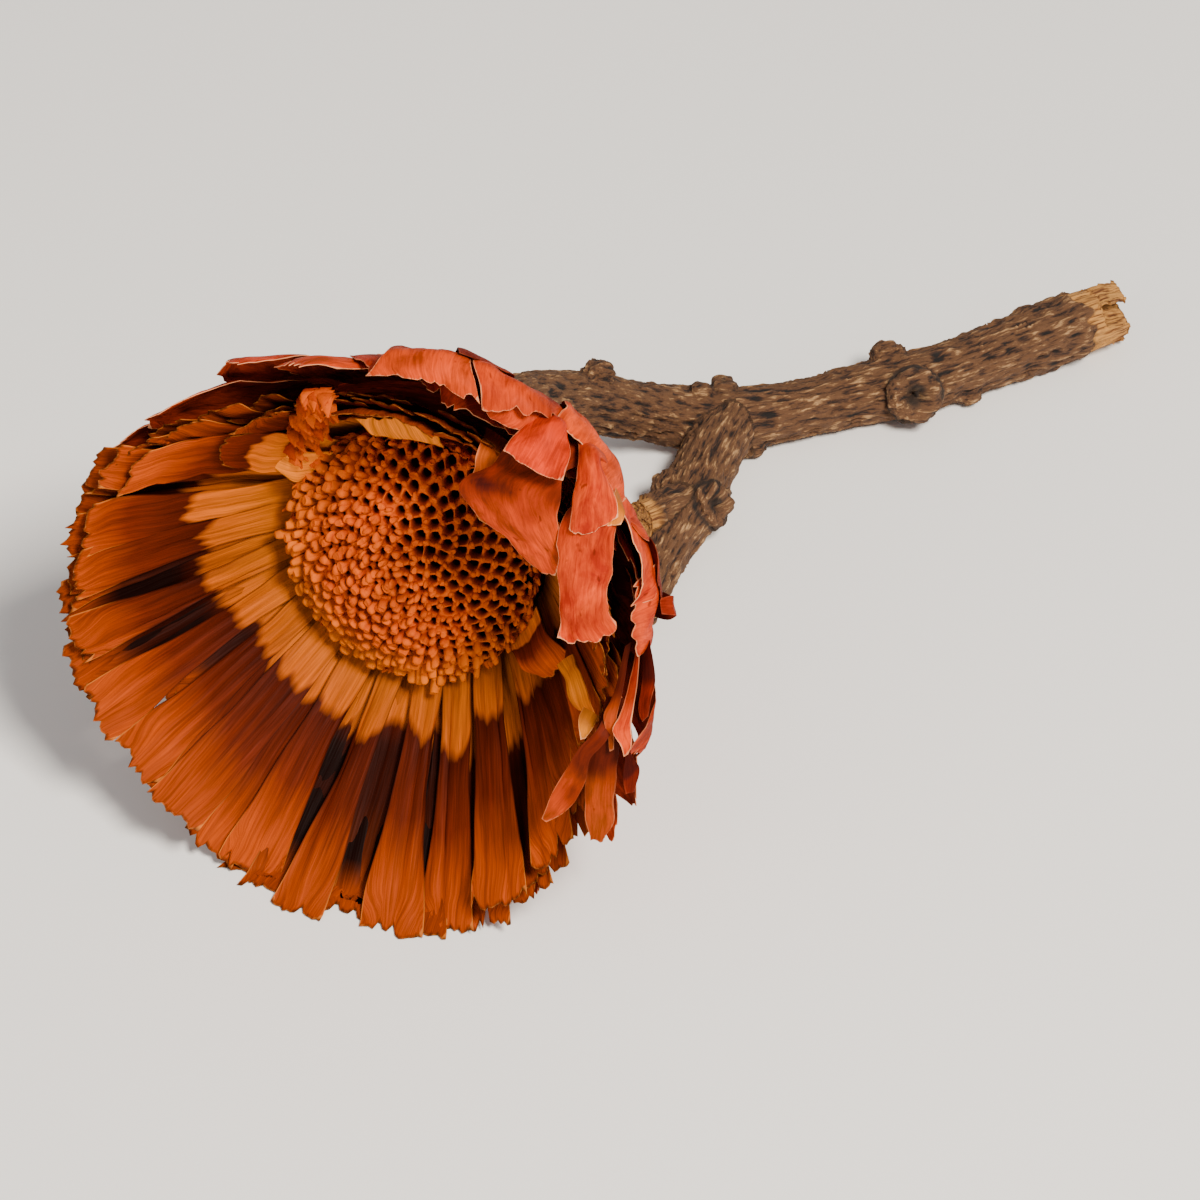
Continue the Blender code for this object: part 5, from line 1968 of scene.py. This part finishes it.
    def build(self, material: bpy.types.Material) -> bpy.types.Object:
        """Builds the branch with its bark's relief.

        Args:
            material: the bark's finish.

        Returns:
            The piece that stands for the branch's solid.
        """
        lines = [self.line([*self.stem, *self.neck()]), self.line(self.shoot), self.line(self.stub)]
        mesh = self.body(lines)
        count = len(mesh.vertices)
        points = np.zeros(count * 3)
        mesh.vertices.foreach_get("co", points)
        points = points.reshape(-1, 3)
        normals = np.zeros(count * 3)
        mesh.vertices.foreach_get("normal", normals)
        normals = normals.reshape(-1, 3)
        lay, end = self.straightened(points, lines)
        relief = self.bark(lay)
        tone = np.zeros((count, 3))
        bare = self.bareness(points, lay, end)
        fibre = grain(lay * (0.22, 1.9, 1.9), SEED + 33)
        push = (relief + self.swelling(lay)) * (1 - bare)
        push += bare * (self.fibre_rise * fibre - self.bare_depth)
        lip = np.zeros(count)
        for scar in self.scars:
            way = np.array(scar.facing) / np.linalg.norm(scar.facing)
            away = points - scar.centre
            forward = away @ way
            aside = np.linalg.norm(away - forward[:, None] * way, axis=1)
            front = smooth(forward / 1.5) * (np.linalg.norm(away, axis=1) < self.scar_reach)
            ring = np.exp(-(((aside - scar.radius) / 0.8) ** 2))
            pit = smooth(1 - aside / (scar.radius - 0.5))
            rough = grain(points * 0.9, SEED + 35)
            push += front * (scar.lip * ring * (1 + 0.8 * rough) - scar.depth * pit * (0.8 + 1.0 * rough))
            # The scar's colour: darkest in its pit, partly its own dark tissue and partly painted shade in
            # the hollow, and a dark collar just outside the pit.
            lip += front * (0.95 * smooth(pit * 2) * (0.85 - 0.5 * rough) + 0.85 * np.exp(
                -(((aside - scar.radius - 0.9) / 0.5) ** 2)))
        points = points + normals * push[:, None]
        points[:, 2] = np.maximum(points[:, 2], 0.02)
        tone[:, 0] = np.clip(0.5 + relief / 1.3, 0, 1)
        tone[:, 1] = bare
        tone[:, 2] = np.clip(lip, 0, 0.9)
        pile = MeshPile()
        corners = np.zeros(len(mesh.loops), np.int64)
        mesh.loops.foreach_get("vertex_index", corners)
        pile.add(points, corners.reshape(-1, 4), lay, tone)
        bpy.data.meshes.remove(mesh)
        return pile.make("branch_bark", HEAD.on_table(), material)

    def straightened(self, points: np.ndarray, lines: list[np.ndarray]) -> tuple[np.ndarray, np.ndarray]:
        """Coordinates as if the limb were straight, so that the bark's pattern follows it.

        Args:
            points: the skin's vertices.
            lines: the limbs' centrelines.

        Returns:
            Rows of the distance along and two across, and the distance from the limb's start.
        """
        best = np.full(len(points), np.inf)
        lay = np.zeros((len(points), 3))
        far_off = 99.0
        end = np.full(len(points), far_off)
        for number, line in enumerate(lines):
            spots, radii = line[:, :3], line[:, 3]
            step = np.linalg.norm(np.diff(spots, axis=0), axis=1)
            length = np.concatenate([[0], np.cumsum(step)])
            ahead = np.gradient(spots, axis=0)
            ahead /= np.linalg.norm(ahead, axis=1)[:, None]
            gap = np.linalg.norm(points[:, None, :] - spots[None, :, :], axis=2) - radii[None, :]
            near = np.argmin(gap, axis=1)
            closest = gap[np.arange(len(points)), near]
            away = points - spots[near]
            forward = np.sum(away * ahead[near], axis=1)
            side = np.cross(ahead, (0, 0, 1.0))
            side /= np.linalg.norm(side, axis=1)[:, None]
            up = np.cross(side, ahead)
            made = np.stack([
                length[near] + forward + self.limb_step * number,
                np.sum(away * side[near], axis=1),
                np.sum(away * up[near], axis=1),
            ], axis=1)
            better = closest < best
            lay[better] = made[better]
            best[better] = closest[better]
            if number == 0:
                end[better] = (length[near] + forward)[better]
            else:
                end[better] = far_off
        return lay, end

    def bark(self, lay: np.ndarray) -> np.ndarray:
        """The bark's fine relief: short broken furrows and flakes.

        Args:
            lay: each point's place as if the limb were straight.

        Returns:
            Heights in millimetres.
        """
        ridge = 1 - 2 * np.abs(grain(lay * (0.26, 1.15, 1.15), SEED + 31))
        thin = 1 - 2 * np.abs(grain(lay * (0.40, 2.1, 2.1), SEED + 39))
        flake = grain(lay * (0.8, 1.7, 1.7), SEED + 32)
        furrows = self.furrow_rise * (ridge - 0.4) + self.crack_rise * (thin - 0.4)
        return furrows + self.flake_rise * flake

    def swelling(self, lay: np.ndarray) -> np.ndarray:
        """The limb's uneven lumps, and on the shoot and the stub their crooked leaf-scar rings.

        Args:
            lay: each point's place as if the limb were straight.

        Returns:
            Heights in millimetres.
        """
        lump = grain(lay * (0.12, 0.2, 0.2), SEED + 36)
        along = lay[:, 0] + 2.2 * grain(lay * 0.35, SEED + 37)
        off_stem = lay[:, 0] > 0.5 * self.limb_step
        ringed = smooth(1.8 * grain(lay * (0.10, 0.05, 0.05), SEED + 38)) * off_stem
        rings = self.ring_rise * np.sin(2 * math.pi * along / self.ring_mm) * ringed
        return self.lump_rise * lump + rings

    def bareness(self, points: np.ndarray, lay: np.ndarray, end: np.ndarray) -> np.ndarray:
        """How bare the wood is, at the torn end and the pruned stub's tip.

        Args:
            points: the skin's vertices.
            lay: each one's place as if the limb were straight.
            end: each one's distance from the torn end.

        Returns:
            A share for each vertex.
        """
        torn = grain(lay * (0.25, 0.7, 0.7), SEED + 34) * 2.2
        bare = smooth((self.bare_from_end - end + torn) / 0.9)
        tip = np.array(self.stub[-1][:3])
        near = np.linalg.norm(points - tip, axis=1)
        on_stub = lay[:, 0] > 1.75 * self.limb_step
        return np.maximum(bare, smooth((self.stub_bare - near) / 0.6) * on_stub)


@dataclass
class Studio:
    """A plain pale floor, soft studio lights and the camera at the photograph's angle.

    aim is the point that the camera looks at, in millimetres from the flower's own origin, and
    lit_point the one that the lights look at, in metres of the row frame.
    """

    aim: Point = (27.6, 12.587, 15.331)
    lit_point: Point = (-0.02, 0.0, 0.03)
    elevation: float = math.radians(45)
    distance: float = 900.0
    lens_mm: float = 175.0
    floor_half: float = 6.0
    sky_strength: float = 0.38
    paint: str = "#F4F3F1"
    lamp_tint: str = "#FFF6EA"

    def camera(self) -> None:
        """Adds the camera and makes it the scene's."""
        data = bpy.data.cameras.new("photo view")
        data.lens = self.lens_mm
        data.sensor_width = 36.0
        data.clip_start, data.clip_end = 0.01, 20.0
        camera = add_object("photo view", data)
        back = Vector((0, -math.cos(self.elevation), math.sin(self.elevation)))
        target = HEAD.on_table() @ Vector(self.aim)
        camera.location = target + back * self.distance * MM
        camera.rotation_euler = (math.radians(90) - self.elevation, 0, 0)
        bpy.context.scene.camera = camera

    def light(self, name: str, place: Point, size: float, watts: float) -> None:
        """Adds one soft light that looks at the flower.

        Args:
            name: the light's name.
            place: where it stands, in metres.
            size: the side of its square, in metres.
            watts: its power.
        """
        data = bpy.data.lights.new(name, "AREA")
        data.energy = watts
        data.size = size
        data.color = linear(self.lamp_tint)[:3]
        lamp = add_object(name, data)
        lamp.location = place
        way = Vector(self.lit_point) - Vector(place)
        lamp.rotation_euler = way.to_track_quat("-Z", "Y").to_euler()

    def build(self) -> None:
        """Adds the floor, the lights, the sky and the camera."""
        bm = bmesh.new()
        bmesh.ops.create_grid(bm, x_segments=1, y_segments=1, size=self.floor_half)
        floor = add_object("floor", mesh_from(bm, "floor"))
        paint = Shading("matt white paint")
        paint.feed(paint.shader, {"Base Color": linear(self.paint), "Roughness": 0.9})
        floor.data.materials.append(paint.material)
        self.light("key", (0.32, -0.55, 0.92), 0.25, 22.0)
        self.light("fill", (-0.8, -0.9, 0.45), 0.9, 4.5)
        world = bpy.data.worlds.new("studio")
        world.use_nodes = True
        sky = world.node_tree.nodes["Background"]
        sky.inputs["Color"].default_value = linear("#FFFFFF")
        sky.inputs["Strength"].default_value = self.sky_strength
        bpy.context.scene.world = world
        self.camera()


def main() -> None:
    """Loads the frame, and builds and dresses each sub-assembly."""
    logging.basicConfig(level=logging.INFO, format="%(message)s")
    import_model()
    dressed = (
        (Branch().build(BarkFinish().material()), "branch", "bark"),
        (Receptacle().build(DiscFinish().material()), "receptacle", "disc"),
        (RayBracts().build(RayFinish().material()), "ray_bracts", "ray_bract"),
        (OuterBracts().build(PaperyFinish().material()), "outer_bracts", "outer_bract"),
    )
    for piece, node, slot in dressed:
        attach(piece, "root")
        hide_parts(node)
        LOG.info("%s stands for %s", piece.name, node)
    Studio().build()


if __name__ == "__main__":
    main()
